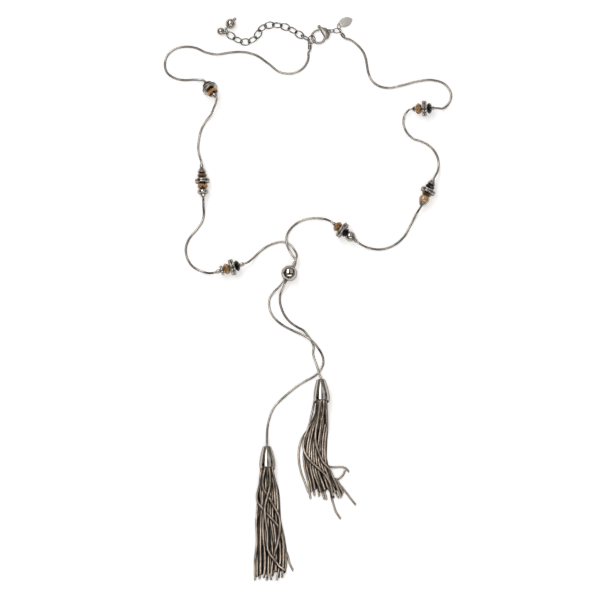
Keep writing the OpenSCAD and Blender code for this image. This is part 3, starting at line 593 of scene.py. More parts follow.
def white_sweep(name):
    # Matt white paper sweep, lit through like a light table so that shadows stay faint.
    material, tree = new_material(name)
    fibre = surface_noise(tree, 0.8, 2)
    tone = add_node(tree, "ShaderNodeValToRGB", {"Fac": fibre}, stops=(
        (0.3, linear("#f1f1f0")), (0.7, linear("#f6f6f5"))))
    return surfaced(material, {
        "Base Color": tone, "Roughness": 0.9, "Specular IOR Level": 0.1,
        "Emission Color": (1, 1, 1, 1), "Emission Strength": 0.46})


def finish_of(name):
    """The material of a name, made when it's first asked for."""
    found = bpy.data.materials.get(name)
    if found:
        return found
    colours = bpy.context.scene.necklace_finishes
    # Chains: colour, its shares in the darker and lighter painted streaks, roughness, size of a patch in
    # millimetres, share of painted shade.
    # Glass: colour, its shares in painted shade and in painted light, transmission, glint
    makers = {
        # The beads, the wire and the castings take the plate's colour in lower shares: painted shade on the
        # same metal
        "polished_rhodium_plate": (polished_rhodium, colours.rhodium, (0.06, 0.16)),
        "bright_rhodium_beads": (polished_rhodium, shaded(colours.rhodium, 0.95), (0.12, 0.2)),
        "rhodium_wire": (polished_rhodium, shaded(colours.rhodium, 0.55), (0.08, 0.18)),
        "satin_rhodium_casting": (satin_rhodium, shaded(colours.rhodium, 0.8), (0.28, 0.4)),
        "satin_rhodium_sheet": (satin_rhodium, colours.sheet, (0.38, 0.46)),
        "oxidised_groove": (oxidised_groove,),
        "rhodium_snake_chain": (chain_rhodium, colours.chain, (0.4, 1.05), (0.18, 0.34), 9, 0.65),
        "rhodium_tassel_chain": (chain_rhodium, colours.tassel, (0.8, 1.15), (0.26, 0.45), 4, 0.9),
        "faceted_jet_glass": (glass, colours.jet, (0.3, 1.6), 0, 0.4),
        "faceted_brown_glass": (glass, colours.brown, (0.2, 2.2), 0.2, 0.6),
        "faceted_amber_glass": (glass, colours.amber, (0.06, 3.3), 0.3, 0.6),
        "foil_backed_crystal": (foil_crystal,),
        "champagne_glass_pearl": (glass_pearl, colours.pearl),
        "white_paper_sweep": (white_sweep,),
    }
    maker, *values = makers[name]
    return maker(name, *values)


# Geometry node trees
UP = (0, 0, 1)
RINGS_PER_RIB = 3


def new_tree(name, sizes, counts=()):
    """An empty geometry tree with named sizes, counts and a finish, and the sockets that give them."""
    tree = bpy.data.node_groups.new(name, "GeometryNodeTree")
    tree.interface.new_socket("Geometry", in_out="OUTPUT", socket_type="NodeSocketGeometry")
    kinds = {"Geometry": "Geometry", "Finish": "Material"}
    kinds |= dict.fromkeys(sizes, "Float") | dict.fromkeys(counts, "Int")
    for key, kind in kinds.items():
        tree.interface.new_socket(key, in_out="INPUT", socket_type="NodeSocket" + kind)
    return tree, add_node(tree, "NodeGroupInput").outputs


def placed_on_points(tree, given, shape):
    """The shape at every point, turned as the point's own turn says."""
    turn = add_node(tree, "GeometryNodeInputNamedAttribute", {"Name": "turn"}, data_type="FLOAT_VECTOR")
    rotation = add_node(tree, "FunctionNodeEulerToRotation", {"Euler": turn})
    return add_node(tree, "GeometryNodeInstanceOnPoints", {
        "Points": given["Geometry"], "Instance": shape, "Rotation": rotation})


def end_tree(tree, given, geometry):
    """The tree with its ending: real faces, and its finish on them."""
    real = add_node(tree, "GeometryNodeRealizeInstances", {"Geometry": geometry})
    finished = add_node(tree, "GeometryNodeSetMaterial", {"Geometry": real, "Material": given["Finish"]})
    add_node(tree, "NodeGroupOutput", {"Geometry": finished})
    return tree


def snake_chain(name):
    """Round snake chain along every path: slanting ribs with a groove after each."""
    tree, given = new_tree(name, ("Diameter", "Rib pitch", "Rib slant", "Groove depth"), ("Sides",))
    path = add_node(tree, "GeometryNodeMeshToCurve", {"Mesh": given["Geometry"]})
    step = add_node(
        tree, "ShaderNodeMath", {0: given["Rib pitch"], 1: RINGS_PER_RIB}, operation="DIVIDE")
    marked = add_node(tree, "GeometryNodeResampleCurve", {"Curve": path, "Length": step}, mode="LENGTH")
    number = add_node(tree, "GeometryNodeInputIndex")
    turn = add_node(tree, "ShaderNodeMath", {0: number, 1: RINGS_PER_RIB}, operation="MODULO")
    in_groove = add_node(tree, "ShaderNodeMath", {0: turn, 1: 0.5}, operation="LESS_THAN")
    # The groove mark tells the finish where to paint shade in the grooves, and where to roughen
    marks = (
        ("groove", "FLOAT", in_groove),
        ("middle", "FLOAT_VECTOR", add_node(tree, "GeometryNodeInputPosition")),
        ("along", "FLOAT_VECTOR", add_node(tree, "GeometryNodeInputTangent")))
    for key, kind, value in marks:
        marked = add_node(tree, "GeometryNodeStoreNamedAttribute", {
            "Geometry": marked, "Name": key, "Value": value}, data_type=kind, domain="POINT")
    depth = add_node(tree, "ShaderNodeMath", {0: in_groove, 1: given["Groove depth"]}, operation="MULTIPLY")
    width = add_node(tree, "ShaderNodeMath", {0: 1, 1: depth}, operation="SUBTRACT")
    radius = add_node(tree, "ShaderNodeMath", {0: given["Diameter"], 1: 2}, operation="DIVIDE")
    profile = add_node(tree, "GeometryNodeCurvePrimitiveCircle", {
        "Resolution": given["Sides"], "Radius": radius}, mode="RADIUS")
    tube = add_node(tree, "GeometryNodeCurveToMesh", {
        "Curve": marked, "Profile Curve": profile, "Scale": width, "Fill Caps": True})
    # Each vertex moves along the chain by how far it lies to one side, which slants the ribs
    here = add_node(tree, "GeometryNodeInputPosition")
    middle, way = (
        add_node(tree, "GeometryNodeInputNamedAttribute", {"Name": key}, data_type="FLOAT_VECTOR")
        for key in ("middle", "along"))
    outward = add_node(tree, "ShaderNodeVectorMath", {0: here, 1: middle}, operation="SUBTRACT")
    side = add_node(tree, "ShaderNodeVectorMath", {0: way, 1: UP}, operation="CROSS_PRODUCT")
    across = add_node(tree, "ShaderNodeVectorMath", {0: outward, 1: side}, operation="DOT_PRODUCT")
    lean = add_node(tree, "ShaderNodeMath", {0: across, 1: given["Rib slant"]}, operation="MULTIPLY")
    shift = add_node(tree, "ShaderNodeVectorMath", {0: way, "Scale": lean}, operation="SCALE")
    # The crown, 1 on top and -1 below, tells the finish where to paint the highlight on top and the shade
    # down the flanks
    straight_out = add_node(tree, "ShaderNodeVectorMath", {0: outward}, operation="NORMALIZE")
    upward = add_node(tree, "ShaderNodeVectorMath", {0: straight_out, 1: UP}, operation="DOT_PRODUCT")
    crowned = add_node(tree, "GeometryNodeStoreNamedAttribute", {
        "Geometry": tube, "Name": "crown", "Value": upward}, data_type="FLOAT", domain="POINT")
    slanted = add_node(tree, "GeometryNodeSetPosition", {"Geometry": crowned, "Offset": shift})
    # The tube's walls have four corners and its ends more, which stay flat
    corners = add_node(tree, "GeometryNodeInputMeshFaceNeighbors")
    is_wall = add_node(tree, "ShaderNodeMath", {0: corners, 1: 4.5}, operation="LESS_THAN")
    smooth = add_node(tree, "GeometryNodeSetShadeSmooth", {"Geometry": slanted, "Shade Smooth": is_wall})
    return end_tree(tree, given, smooth)


def wire_links(name):
    """A closed link of round wire at every point."""
    tree, given = new_tree(name, ("Length", "Width", "Wire"), ("Sides", "Steps"))
    long_way, short_way = (
        add_node(tree, "ShaderNodeMath", {0: given[key], 1: given["Wire"]}, operation="SUBTRACT")
        for key in ("Length", "Width"))
    size = add_node(tree, "ShaderNodeCombineXYZ", {"X": long_way, "Y": short_way})
    ring = add_node(tree, "GeometryNodeCurvePrimitiveCircle", {
        "Resolution": given["Steps"], "Radius": 0.5}, mode="RADIUS")
    there = add_node(tree, "GeometryNodeInputPosition")
    stretched = add_node(tree, "ShaderNodeVectorMath", {0: there, 1: size}, operation="MULTIPLY")
    oval = add_node(tree, "GeometryNodeSetPosition", {"Geometry": ring, "Position": stretched})
    radius = add_node(tree, "ShaderNodeMath", {0: given["Wire"], 1: 2}, operation="DIVIDE")
    wire = add_node(tree, "GeometryNodeCurvePrimitiveCircle", {
        "Resolution": given["Sides"], "Radius": radius}, mode="RADIUS")
    link = add_node(tree, "GeometryNodeCurveToMesh", {"Curve": oval, "Profile Curve": wire})
    smooth = add_node(tree, "GeometryNodeSetShadeSmooth", {"Geometry": link})
    return end_tree(tree, given, placed_on_points(tree, given, smooth))


def set_stones(name):
    """A cut stone at every point, with a flat table and its facets round it."""
    tree, given = new_tree(name, ("Stone width", "Stone height"))
    half = add_node(tree, "ShaderNodeMath", {0: given["Stone width"], 1: 2}, operation="DIVIDE")
    table = add_node(tree, "ShaderNodeMath", {0: half, 1: TABLE_SHARE}, operation="MULTIPLY")
    stone = add_node(tree, "GeometryNodeMeshCone", {
        "Vertices": STONE_SIDES, "Radius Top": table, "Radius Bottom": half,
        "Depth": given["Stone height"]})
    return end_tree(tree, given, placed_on_points(tree, given, stone))


TREES = {"Snake chain": snake_chain, "Wire links": wire_links, "Set stones": set_stones}


# Pieces
def add_modifier(piece, kind, **settings):
    """A modifier with its settings."""
    modifier = piece.modifiers.new(kind.title(), kind)
    for key, value in settings.items():
        setattr(modifier, key, value)
    return modifier


def settled(piece):
    """The piece with its modifiers worked into a plain mesh."""
    graph = bpy.context.evaluated_depsgraph_get()
    mesh = bpy.data.meshes.new_from_object(
        piece.evaluated_get(graph), preserve_all_data_layers=True, depsgraph=graph)
    piece.modifiers.clear()
    source = piece.data
    piece.data = mesh
    mesh.name = piece.name
    bpy.data.meshes.remove(source)
    return piece


def bevelled(piece, width_mm, segments, angle):
    """The piece with its edges over an angle rounded off."""
    add_modifier(
        piece, "BEVEL", width=width_mm * MM, segments=segments, limit_method="ANGLE",
        angle_limit=math.radians(angle))
    return settled(piece)


def grown(name, source, title, values):
    """An object whose plain mesh is what a tree makes of a source mesh, with values for its inputs."""
    tree = bpy.data.node_groups.get(title) or TREES[title](title)
    piece = bpy.data.objects.new(name, source)
    modifier = add_modifier(piece, "NODES", node_group=tree)
    for socket in tree.interface.items_tree:
        if socket.name in values:
            modifier[socket.identifier] = values[socket.name]
    bpy.context.scene.collection.objects.link(piece)
    return settled(piece)


def object_of(name, mesh, finish):
    """An object of a bmesh in metres."""
    data = bpy.data.meshes.new(name)
    mesh.to_mesh(data)
    mesh.free()
    data.materials.append(finish_of(finish))
    piece = bpy.data.objects.new(name, data)
    bpy.context.scene.collection.objects.link(piece)
    return piece


def made(name, mesh, finish, sharp=SHARP_ANGLE):
    """An object of a bmesh in millimetres, with edges over an angle left sharp."""
    bmesh.ops.recalc_face_normals(mesh, faces=mesh.faces)
    mesh.transform(Matrix.Scale(MM, 4))
    piece = object_of(name, mesh, finish)
    if sharp:
        piece.data.set_sharp_from_angle(angle=math.radians(sharp))
    return piece


def merged_copy(node):
    """A bmesh of a CAD node's mesh, with its loose triangles merged."""
    mesh = bmesh.new()
    mesh.from_mesh(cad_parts[node].data)
    bmesh.ops.remove_doubles(mesh, verts=mesh.verts, dist=MERGE_MM * MM)
    return mesh


def fitted(piece, slot, *nodes, body=BODY):
    """The piece in the place of CAD nodes and on its body. The slot is not used."""
    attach(piece, body)
    if nodes:
        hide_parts(*nodes)
    return piece


def cover_of(paths):
    """How far each point of the paths lies under the other paths, from 0 to 1."""
    clouds = [np.array([tuple(p) for p in path]) for path in paths]
    covers = []
    for i, here in enumerate(clouds):
        others = np.concatenate([cloud for k, cloud in enumerate(clouds) if k != i])
        side = np.hypot(here[:, None, 0] - others[None, :, 0], here[:, None, 1] - others[None, :, 1])
        height = others[None, :, 2] - here[:, None, 2]
        over = np.clip((height - COVER_FROM) / COVER_SPAN, 0, 1)
        covers.append((over * np.clip(COVER_REACH - COVER_FALL * side / CHAIN_D, 0, 1)).max(1))
    return covers


def path_mesh(name, paths, covers=None):
    """Mesh of open lines through lists of points in millimetres, in metres."""
    points, edges = [], []
    for path in paths:
        first = len(points)
        points.extend(Vector(p) * MM for p in path)
        edges.extend((first + i, first + i + 1) for i in range(len(path) - 1))
    data = bpy.data.meshes.new(name)
    data.from_pydata(points, edges, [])
    if covers:
        data.attributes.new("buried", "FLOAT", "POINT").data.foreach_set("value", np.concatenate(covers))
    return data


def turned_points(name, places):
    """Mesh of loose points, each with its turn: places are (point in millimetres, turn in degrees)."""
    data = bpy.data.meshes.new(name)
    data.from_pydata([Vector(at) * MM for at, _ in places], [], [])
    turns = data.attributes.new("turn", "FLOAT_VECTOR", "POINT")
    for i, (_, turn) in enumerate(places):
        turns.data[i].vector = [math.radians(a) for a in turn]
    return data


# Places and outlines
def aim(heading, rise=0.0):
    """Direction of a heading in the plan and a rise above it."""
    h, r = math.radians(heading), math.radians(rise)
    return Vector((math.cos(r) * math.cos(h), math.cos(r) * math.sin(h), math.sin(r)))


def placing(at, x=0.0, y=0.0, z=0.0):
    """Matrix that turns about X, then Y, then Z in degrees, and moves to a place in millimetres."""
    turn = (Matrix.Rotation(math.radians(z), 4, "Z") @ Matrix.Rotation(math.radians(y), 4, "Y")
            @ Matrix.Rotation(math.radians(x), 4, "X"))
    return Matrix.Translation(Vector(at)) @ turn


def facing(at, heading, rise=0.0):
    """Matrix that turns Z to a heading and rise."""
    return placing(at, y=90 - rise, z=heading)


CLASP_PLACE = placing(CLASP_AT, z=CLASP_HEADING)


def rounded(outline, radius, steps=3, closed=True):
    """The outline with each corner rounded off, as far as its edges let it."""
    result = []
    count = len(outline)
    for i in range(count):
        here = Vector(outline[i])
        a, b = Vector(outline[i - 1]) - here, Vector(outline[(i + 1) % count]) - here
        is_end = not closed and i in (0, count - 1)
        if is_end or min(a.length, b.length) < SAME_PLACE or a.angle(b) > math.radians(STRAIGHT_ANGLE):
            result.append(tuple(here))
            continue
        cut = min(radius, CUT_SHARE * a.length, CUT_SHARE * b.length)
        start, end = here + a.normalized() * cut, here + b.normalized() * cut
        for k in range(steps + 1):
            t = k / steps
            result.append(tuple(start * (1 - t) ** 2 + here * 2 * t * (1 - t) + end * t ** 2))
    return result


def arc(middle, r, lip, steps):
    """Outline of a ball about a middle on its axis, without a lip of this angle at each end."""
    return [(middle - r * math.cos(a), r * math.sin(a)) for a in np.linspace(lip, math.pi - lip, steps)]


def round_z(r, turn, z=0.0):
    """Point at a radius, a turn in radians round Z and a height."""
    return Vector((r * math.cos(turn), r * math.sin(turn), z))


def add_ring(mesh, place, r, z, sides, half_steps=0):
    """Vertices in a ring round Z, turned on by half steps."""
    return [mesh.verts.new(place @ round_z(r, math.pi * (2 * k + half_steps) / sides, z))
            for k in range(sides)]


def bridge(mesh, a, b, smooth=True):
    """Faces from one ring of vertices to the next, which have three corners where a ring is one point."""
    for k in range(len(a)):
        m = (k + 1) % len(a)
        corners = list(dict.fromkeys((a[k], b[k], b[m], a[m])))
        if len(corners) > 2:
            mesh.faces.new(corners).smooth = smooth


def spin(mesh, outline, place, sides, closed=True):
    """Spin an outline of (z, r) points round Z into a bmesh and put it in place."""
    rings = []
    for z, r in outline:
        if r < ON_AXIS:
            rings.append([mesh.verts.new(place @ Vector((0, 0, z)))] * sides)
        else:
            rings.append(add_ring(mesh, place, r, z, sides))
    following = rings[1:] + rings[:1] if closed else rings[1:]
    for a, b in zip(rings, following):
        bridge(mesh, a, b)


def turned(name, outline, place, sides, finish):
    """A piece whose whole shape is a spun outline."""
    mesh = bmesh.new()
    spin(mesh, outline, place, sides)
    return made(name, mesh, finish)


def add_wire_ring(mesh, place, r, wire_r):
    """A closed ring of round wire in the local XY plane."""
    rows = []
    for i in range(WIRE_STEPS):
        turn = 2 * math.pi * i / WIRE_STEPS
        rows.append([
            mesh.verts.new(place @ round_z(r + wire_r * math.cos(a), turn, wire_r * math.sin(a)))
            for a in (2 * math.pi * k / WIRE_SIDES for k in range(WIRE_SIDES))])
    for a, b in zip(rows, rows[1:] + rows[:1]):
        bridge(mesh, a, b)


# Routes
def tangent(points, i):
    """Direction at a point: the neighbouring chords' directions, the nearer one weighing more."""
    if i == 0:
        return (points[1] - points[0]).normalized()
    if i == len(points) - 1:
        return (points[i] - points[i - 1]).normalized()
    a, b = points[i] - points[i - 1], points[i + 1] - points[i]
    return (a / a.length_squared + b / b.length_squared).normalized()


def smooth_path(points, step=0.5):
    """Points of the cubic curve through the given ones, about a step apart."""
    points = [Vector(p) for p in points]
    result = []
    for i in range(len(points) - 1):
        p, q = points[i], points[i + 1]
        length = (q - p).length
        m, n = tangent(points, i) * length, tangent(points, i + 1) * length
        parts = max(1, math.ceil(length / step))
        for k in range(parts):
            t = k / parts
            result.append(
                (2 * t ** 3 - 3 * t ** 2 + 1) * p + (t ** 3 - 2 * t ** 2 + t) * m
                + (3 * t ** 2 - 2 * t ** 3) * q + (t ** 3 - t ** 2) * n)
    result.append(points[-1])
    return result


def piece_start(pieces, i):
    """Distance of piece i from a station's first face."""
    return sum(size[1] + BEAD_GAP for _, size in pieces[:i])


def station_point(station, along):
    """Point on a station's axis, measured from its first face. The station rests on its double ring."""
    (x, y), heading, rise, ring, pieces = STATIONS[station]
    _, length, d, _ = pieces[ring][1]
    lean = math.radians(rise)
    z = d / 2 * math.cos(lean) + length / 2 * math.sin(lean) + OFF_FLOOR
    return Vector((x, y, z)) + (along - piece_start(pieces, ring) - length / 2) * aim(heading, rise)


def station_run(station):
    """Straight stretch of chain through a station."""
    pieces = STATIONS[station][4]
    end = piece_start(pieces, len(pieces)) - BEAD_GAP
    return [station_point(station, d) for d in (-STATION_RUN_ON, 0, end, end + STATION_RUN_ON)]


def slider_run(side):
    """Straight stretch through the slider ball: side is 1 for the left chain and -1 for the right."""
    shift = side * SLIDER_SPREAD / math.sqrt(2) * (aim(SLIDER_HEADING - 90) + Vector((0, 0, 1)))
    return [Vector(SLIDER_AT) + d * SLIDER_D / 2 * aim(SLIDER_HEADING) + shift for d in SLIDER_RUN]


def cap_point(cap, d):
    """Point on a bell cap's axis."""
    return Vector(cap[0]) + d * aim(cap[1], CAP_LEAN)


def end_run(end):
    """Straight stretch in a chain end's tube."""
    return [Vector(end[0]) + d * aim(end[1])
            for d in (END_EYE_R + END_WALL + END_CLEAR, END_EYE_R + END_TUBE_L + END_RUN_ON)]


def lying(points):
    """Points with a height, which is the chain's own on the floor where none is given."""
    return [Vector((p[0], p[1], p[2] if len(p) > 2 else FLOOR_Z)) for p in points]


def chain_route(side, end, stretches, slider_side, cap):
    """Points of a chain from its clasp end to its cap."""
    route = end_run(end)
    runs = [station_run(f"{side}_{place}") for place in ("top", "middle", "low")] + [slider_run(slider_side)]
    for stretch, run in zip(stretches, runs):
        route += lying(stretch) + run
    return route + lying(stretches[-1]) + [cap_point(cap, d) for d in CAP_RUN]


# Tassels
def edge_at(edges, y):
    """Left and right edge of a tassel at a Y."""
    ys, left, right = np.array(edges).T
    return np.interp(-y, -ys, left), np.interp(-y, -ys, right)


def cap_hole(cap, ys):
    """Middle X, middle Z and free radius of a cap's inside at each Y, or a wide one past its mouth."""
    start, way = Vector(cap[0]), aim(cap[1], CAP_LEAN)
    d = (ys - start.y) / way.y
    wall = np.interp(d / CAP_L, *zip(*CAP_OUTLINE)) - CAP_WALL
    free = np.where(d < CAP_L, np.minimum(wall - CHAIN_D / 2 - WALL_ROOM, HOLE_MOST_R), NO_WALL)
    return start.x + d * way.x, start.z + d * way.z, free


def lie_of_strands(cap, edges, count, wander, seed):
    """Strands packed in the cap that spread, sink and settle on the floor without cutting each other."""
    rng = np.random.default_rng(seed)
    first, last = cap_point(cap, STRAND_START).y, edges[-1][0]
    ys = first - ROW_STEP * np.arange(int((first - last) / ROW_STEP) + 1)
    hole_x, hole_z, free = cap_hole(cap, ys)
    left, right = edge_at(edges, ys)
    number = np.arange(count)
    reach = np.sqrt((number + 0.5) / count)
    a, b = reach * np.cos(PACK_TURN * number), reach * np.sin(PACK_TURN * number)
    share = (2 * (np.argsort(np.argsort(a)) + 0.5) / count - 1)[:, None]
    spread = np.clip((first - SPREAD_FROM - ys) / SPREAD_OVER, 0, 1)[None, :]
    phase = rng.uniform(0, 2 * math.pi, (count, 2))
    wave = rng.uniform(*WAVE_LENGTHS, (count, 2))
    fall = (first - ys)[None, :]
    drift = sum(np.sin(fall * 2 * math.pi / wave[:, k:k + 1] + phase[:, k:k + 1]) for k in (0, 1))
    middle, half = (left + right) / 2, (right - left) / 2 - CHAIN_D / 2
    fan = share * FAN_SHARE * half + drift * wander * np.clip((fall - WAVE_FROM) / WAVE_OVER, 0, 1)
    aim_x = hole_x * (1 - spread) + middle * spread + a[:, None] * PACK_R * (1 - spread) + fan * spread
    x = aim_x.copy()
    z = (hole_z + b[:, None] * PACK_R) * (1 - spread) + (HEAP_Z + HEAP_RISE * b[:, None]) * spread
    for turn in range(SETTLE_ROUNDS + PUSH_ROUNDS):
        dx, dz = x[:, None] - x[None], z[:, None] - z[None]
        gap = np.sqrt(dx * dx + dz * dz) + SAME_PLACE
        push = np.clip(STRAND_GAP - gap, 0, None) * PUSH / gap
        push[number, number] = 0
        x += (dx * push).sum(1)
        z += (dz * push).sum(1)
        if turn < SETTLE_ROUNDS:
            x += PULL * (aim_x - x)
            z -= SINK * (ys < cap_point(cap, CAP_L).y - SINK_FROM)
            for values in (x, z):
                values[:, 1:-1] += STIFFNESS * (values[:, :-2] + values[:, 2:] - 2 * values[:, 1:-1])
        off_x, off_z = x - hole_x, z - hole_z
        pull = np.minimum(1, free / np.maximum(np.sqrt(off_x ** 2 + off_z ** 2), SAME_PLACE))
        x, z = hole_x + off_x * pull, hole_z + off_z * pull
        x = np.clip(x, left + CHAIN_D / 2, right - CHAIN_D / 2)
        z = np.maximum(z, CHAIN_D / 2 + OFF_FLOOR)
    return ys, x, z


def laid_over(path, lines, cap):
    """Heights that let a strand rest on the ones below it along its path in the plan."""
    points = smooth_path([(p[0], p[1], 0) for p in path], 1)
    cloud = np.array([tuple(p) for line in lines for p in line])
    mouth = cap_point(cap, CAP_L)
    heights = []
    for p in points:
        near = cloud[np.abs(cloud[:, 1] - p.y) < CHAIN_D]
        off = np.hypot(near[:, 0] - p.x, near[:, 1] - p.y)
        over = near[:, 2] + np.sqrt(np.clip(STRAND_GAP ** 2 - off ** 2, 0, None))
        top = max([CHAIN_D / 2 + OFF_FLOOR, *over[off < STRAND_GAP]])
        heights.append(min(top, mouth.z + MOUTH_RISE) if p.y > mouth.y - MOUTH_REACH else top)
    heights = np.array(heights)
    soft = heights.copy()
    for _ in range(DRAPE_ROUNDS):
        soft[1:-1] = np.maximum(heights[1:-1], (soft[:-2] + soft[2:]) / 2)
    return [(p.x, p.y, h) for p, h in zip(points, soft)]


def tassel_paths(cap, edges, crossings, strays, sizes, seed):
    """All strands of a tassel as lists of points."""
    rng = np.random.default_rng(seed)
    ys, x, z = lie_of_strands(cap, edges, sizes.strands, sizes.wander / MM / 2, seed)
    paths = []
    for k in range(sizes.strands):
        points = np.stack((x[k], ys, z[k]), 1)[:len(ys) - rng.integers(0, STOP_ROWS)]
        points[-1, 1] += rng.uniform(*STOP_SHIFT)
        paths.append(smooth_path(points))
    for crossing in crossings:
        paths.append(smooth_path(laid_over(crossing, paths, cap)))
    return paths + [smooth_path(stray) for stray in strays]


def build_chain(name, paths, sides, finish, covers=None):
    """A piece of snake chain along paths."""
    sizes = bpy.context.scene.necklace_chain
    return grown(name, path_mesh(name, paths, covers), "Snake chain", {
        "Diameter": sizes.diameter, "Rib pitch": sizes.rib_pitch, "Rib slant": sizes.rib_slant,
        "Groove depth": sizes.groove, "Sides": sides, "Finish": finish_of(finish)})


class SnakeChains(bpy.types.Operator):
    """Lay the two snake chains along their routes"""

    bl_idname = "necklace.snake_chains"
    bl_label = "Snake chains"

    def execute(self, context):
        sides = context.scene.necklace_chain.sides
        chains = (
            ("left", END_LEFT, (LEFT_CLASP, LEFT_A, LEFT_B, LEFT_C, LEFT_D), 1, CAP_LOWER),
            ("right", END_RIGHT, (RIGHT_CLASP, RIGHT_A, RIGHT_B, RIGHT_C, RIGHT_D), -1, CAP_UPPER))
        for side, *route in chains:
            path = smooth_path(chain_route(side, *route))
            piece = build_chain(side + "_chain_ribs", [path], sides, "rhodium_snake_chain")
            fitted(piece, "snake_chain", side + "_chain")
        return {"FINISHED"}


class Tassels(bpy.types.Operator):
    """Hang the strands of both tassels"""

    bl_idname = "necklace.tassels"
    bl_label = "Tassels"

    def execute(self, context):
        sizes = context.scene.necklace_tassels
        tassels = (
            ("upper_tassel", CAP_UPPER, UPPER_EDGES, UPPER_CROSSINGS, UPPER_STRAYS),
            ("lower_tassel", CAP_LOWER, LOWER_EDGES, LOWER_CROSSINGS, LOWER_STRAYS))
        for i, (name, *lie) in enumerate(tassels):
            paths = tassel_paths(*lie, sizes, sizes.seed + i)
            # How far each point lies under other strands sets its painted shade
            piece = build_chain(
                name + "_strands", paths, STRAND_SIDES, "rhodium_tassel_chain", cover_of(paths))
            fitted(piece, "snake_chain", name)
        return {"FINISHED"}


class BellCaps(bpy.types.Operator):
    """Turn the two bell caps"""

    bl_idname = "necklace.bell_caps"
    bl_label = "Bell caps"

    def execute(self, context):
        wall = smooth_path([(share * CAP_L, r, 0) for share, r in CAP_OUTLINE[1:]], CAP_STEP)
        inner = [(share * CAP_L, r - CAP_WALL) for share, r in reversed(CAP_OUTLINE[2:])]
        top = [(CAP_TOP_T, CAP_OUTLINE[1][1] - CAP_WALL), (CAP_TOP_T, BORE_R), (0, BORE_R)]
        outline = [*CAP_CROWN, *((p.x, p.y) for p in wall), *inner, *top]
        for name, cap in (("upper_cap", CAP_UPPER), ("lower_cap", CAP_LOWER)):
            piece = turned(
                name + "_bell", rounded(outline, CAP_EDGE_R), facing(*cap, CAP_LEAN), LARGE_SIDES,
                "polished_rhodium_plate")
            fitted(piece, "polished_metal", name)
        return {"FINISHED"}


class SliderBall(bpy.types.Operator):
    """Turn the ball that slides on both chains"""

    bl_idname = "necklace.slider_ball"
    bl_label = "Slider ball"

    def execute(self, context):
        r = SLIDER_D / 2
        outline = [(-SLIDER_FLAT, SLIDER_BORE_R), *arc(0, r, math.acos(SLIDER_FLAT / r), SLIDER_STEPS),
                   (SLIDER_FLAT, SLIDER_BORE_R)]
        place = facing(SLIDER_AT, SLIDER_HEADING)
        piece = turned(
            "slider_ball_shell", rounded(outline, SLIDER_EDGE_R, 4), place, LARGE_SIDES,
            "polished_rhodium_plate")
        fitted(piece, "polished_metal", "slider_ball")
        return {"FINISHED"}


def station_places(kinds):
    """Name, size and place of every station piece of some kinds."""
    for station, (_, heading, rise, _, pieces) in STATIONS.items():
        for i, (name, size) in enumerate(pieces):
            if size[0] in kinds:
                at = station_point(station, piece_start(pieces, i))
                yield f"{station}_{name}", size, facing(at, heading, rise)


def facets(mesh, a, b, is_turned):
    """Three-cornered facets between two rings, of which the first or the second is half a step on."""
    for k in range(len(a)):
        m = (k + 1) % len(a)
        if is_turned:
            mesh.faces.new((a[k], b[m], b[k]))
            mesh.faces.new((a[k], a[m], b[m]))
        else:
            mesh.faces.new((a[k], a[m], b[k]))
            mesh.faces.new((a[m], b[m], b[k]))


class GlassBeads(bpy.types.Operator):
    """Cut the faceted glass rondelles"""

    bl_idname = "necklace.glass_beads"
    bl_label = "Glass beads"

    def execute(self, context):
        last = len(GLASS_ROWS) - 1
        for name, (kind, length, d, _), place in station_places(GLASS_FINISHES):
            mesh = bmesh.new()
            rings = [add_ring(mesh, place, reach * d, share * length, GLASS_SIDES, i % 2)
                     for i, (share, reach) in enumerate(GLASS_ROWS)]
            for i in range(last):
                facets(mesh, rings[i], rings[i + 1], i % 2)
            start, stop = (
                add_ring(mesh, place, BORE_R, GLASS_ROWS[i][0] * length, GLASS_SIDES, i % 2)
                for i in (0, last))
            bridge(mesh, rings[0], start, smooth=False)
            bridge(mesh, stop, rings[last], smooth=False)
            facets(mesh, start, stop, False)
            piece = made(name + "_glass", mesh, GLASS_FINISHES[kind], sharp=0)
            bevelled(piece, width_mm=0.05, segments=2, angle=8)
            # Each facet's painted light and shade: lighter near the belt, darker towards the ends, and a
            # random share
            painted_panes = piece.data.attributes.new("painted_pane", "FLOAT", "FACE")
            rng = np.random.default_rng(len(name))
            back = place.inverted()
            for painted_pane, face in zip(painted_panes.data, piece.data.polygons):
                belt = 1 - abs((back @ (face.center / MM)).z / length - 0.5) * BELT_FALL
                painted_pane.value = min(1, max(0, BELT_SHARE * belt + rng.random() - PANE_DROP))
            fitted(piece, kind + "_glass", name)
        return {"FINISHED"}


class MetalBeads(bpy.types.Operator):
    """Turn the crimps, cones, discs and balls of the stations"""

    bl_idname = "necklace.metal_beads"
    bl_label = "Crimps, discs and balls"

    def execute(self, context):
        plated = ("bright_rhodium_beads", "polished_metal")
        kinds = {"crimp": plated, "cone": plated, "disc": plated, "ball": plated,
                 "pearl": ("champagne_glass_pearl", "pearl")}
        for name, (kind, length, d1, d2), place in station_places(kinds):
            if kind in ("ball", "pearl"):
                lip = math.asin(math.sqrt(max(0, 1 - (length / d1) ** 2)))
                wall = arc(length / 2, d1 / 2, lip, BEAD_STEPS)
            elif kind == "disc":
                wall = [(share * length, reach * d1) for share, reach in DISC_OUTLINE]
            else:
                bevel = BEVEL_SHARE * length
                wall = [(0, d1 / 2 - bevel), (bevel, d1 / 2), (length - bevel, d2 / 2),
                        (length, d2 / 2 - bevel)]
            outline = rounded([(0, BORE_R), *wall, (length, BORE_R)], BEAD_EDGE_R, 4)
            finish, slot = kinds[kind]
            fitted(turned(name + "_turned", outline, place, BEAD_SIDES, finish), slot, name)
        return {"FINISHED"}


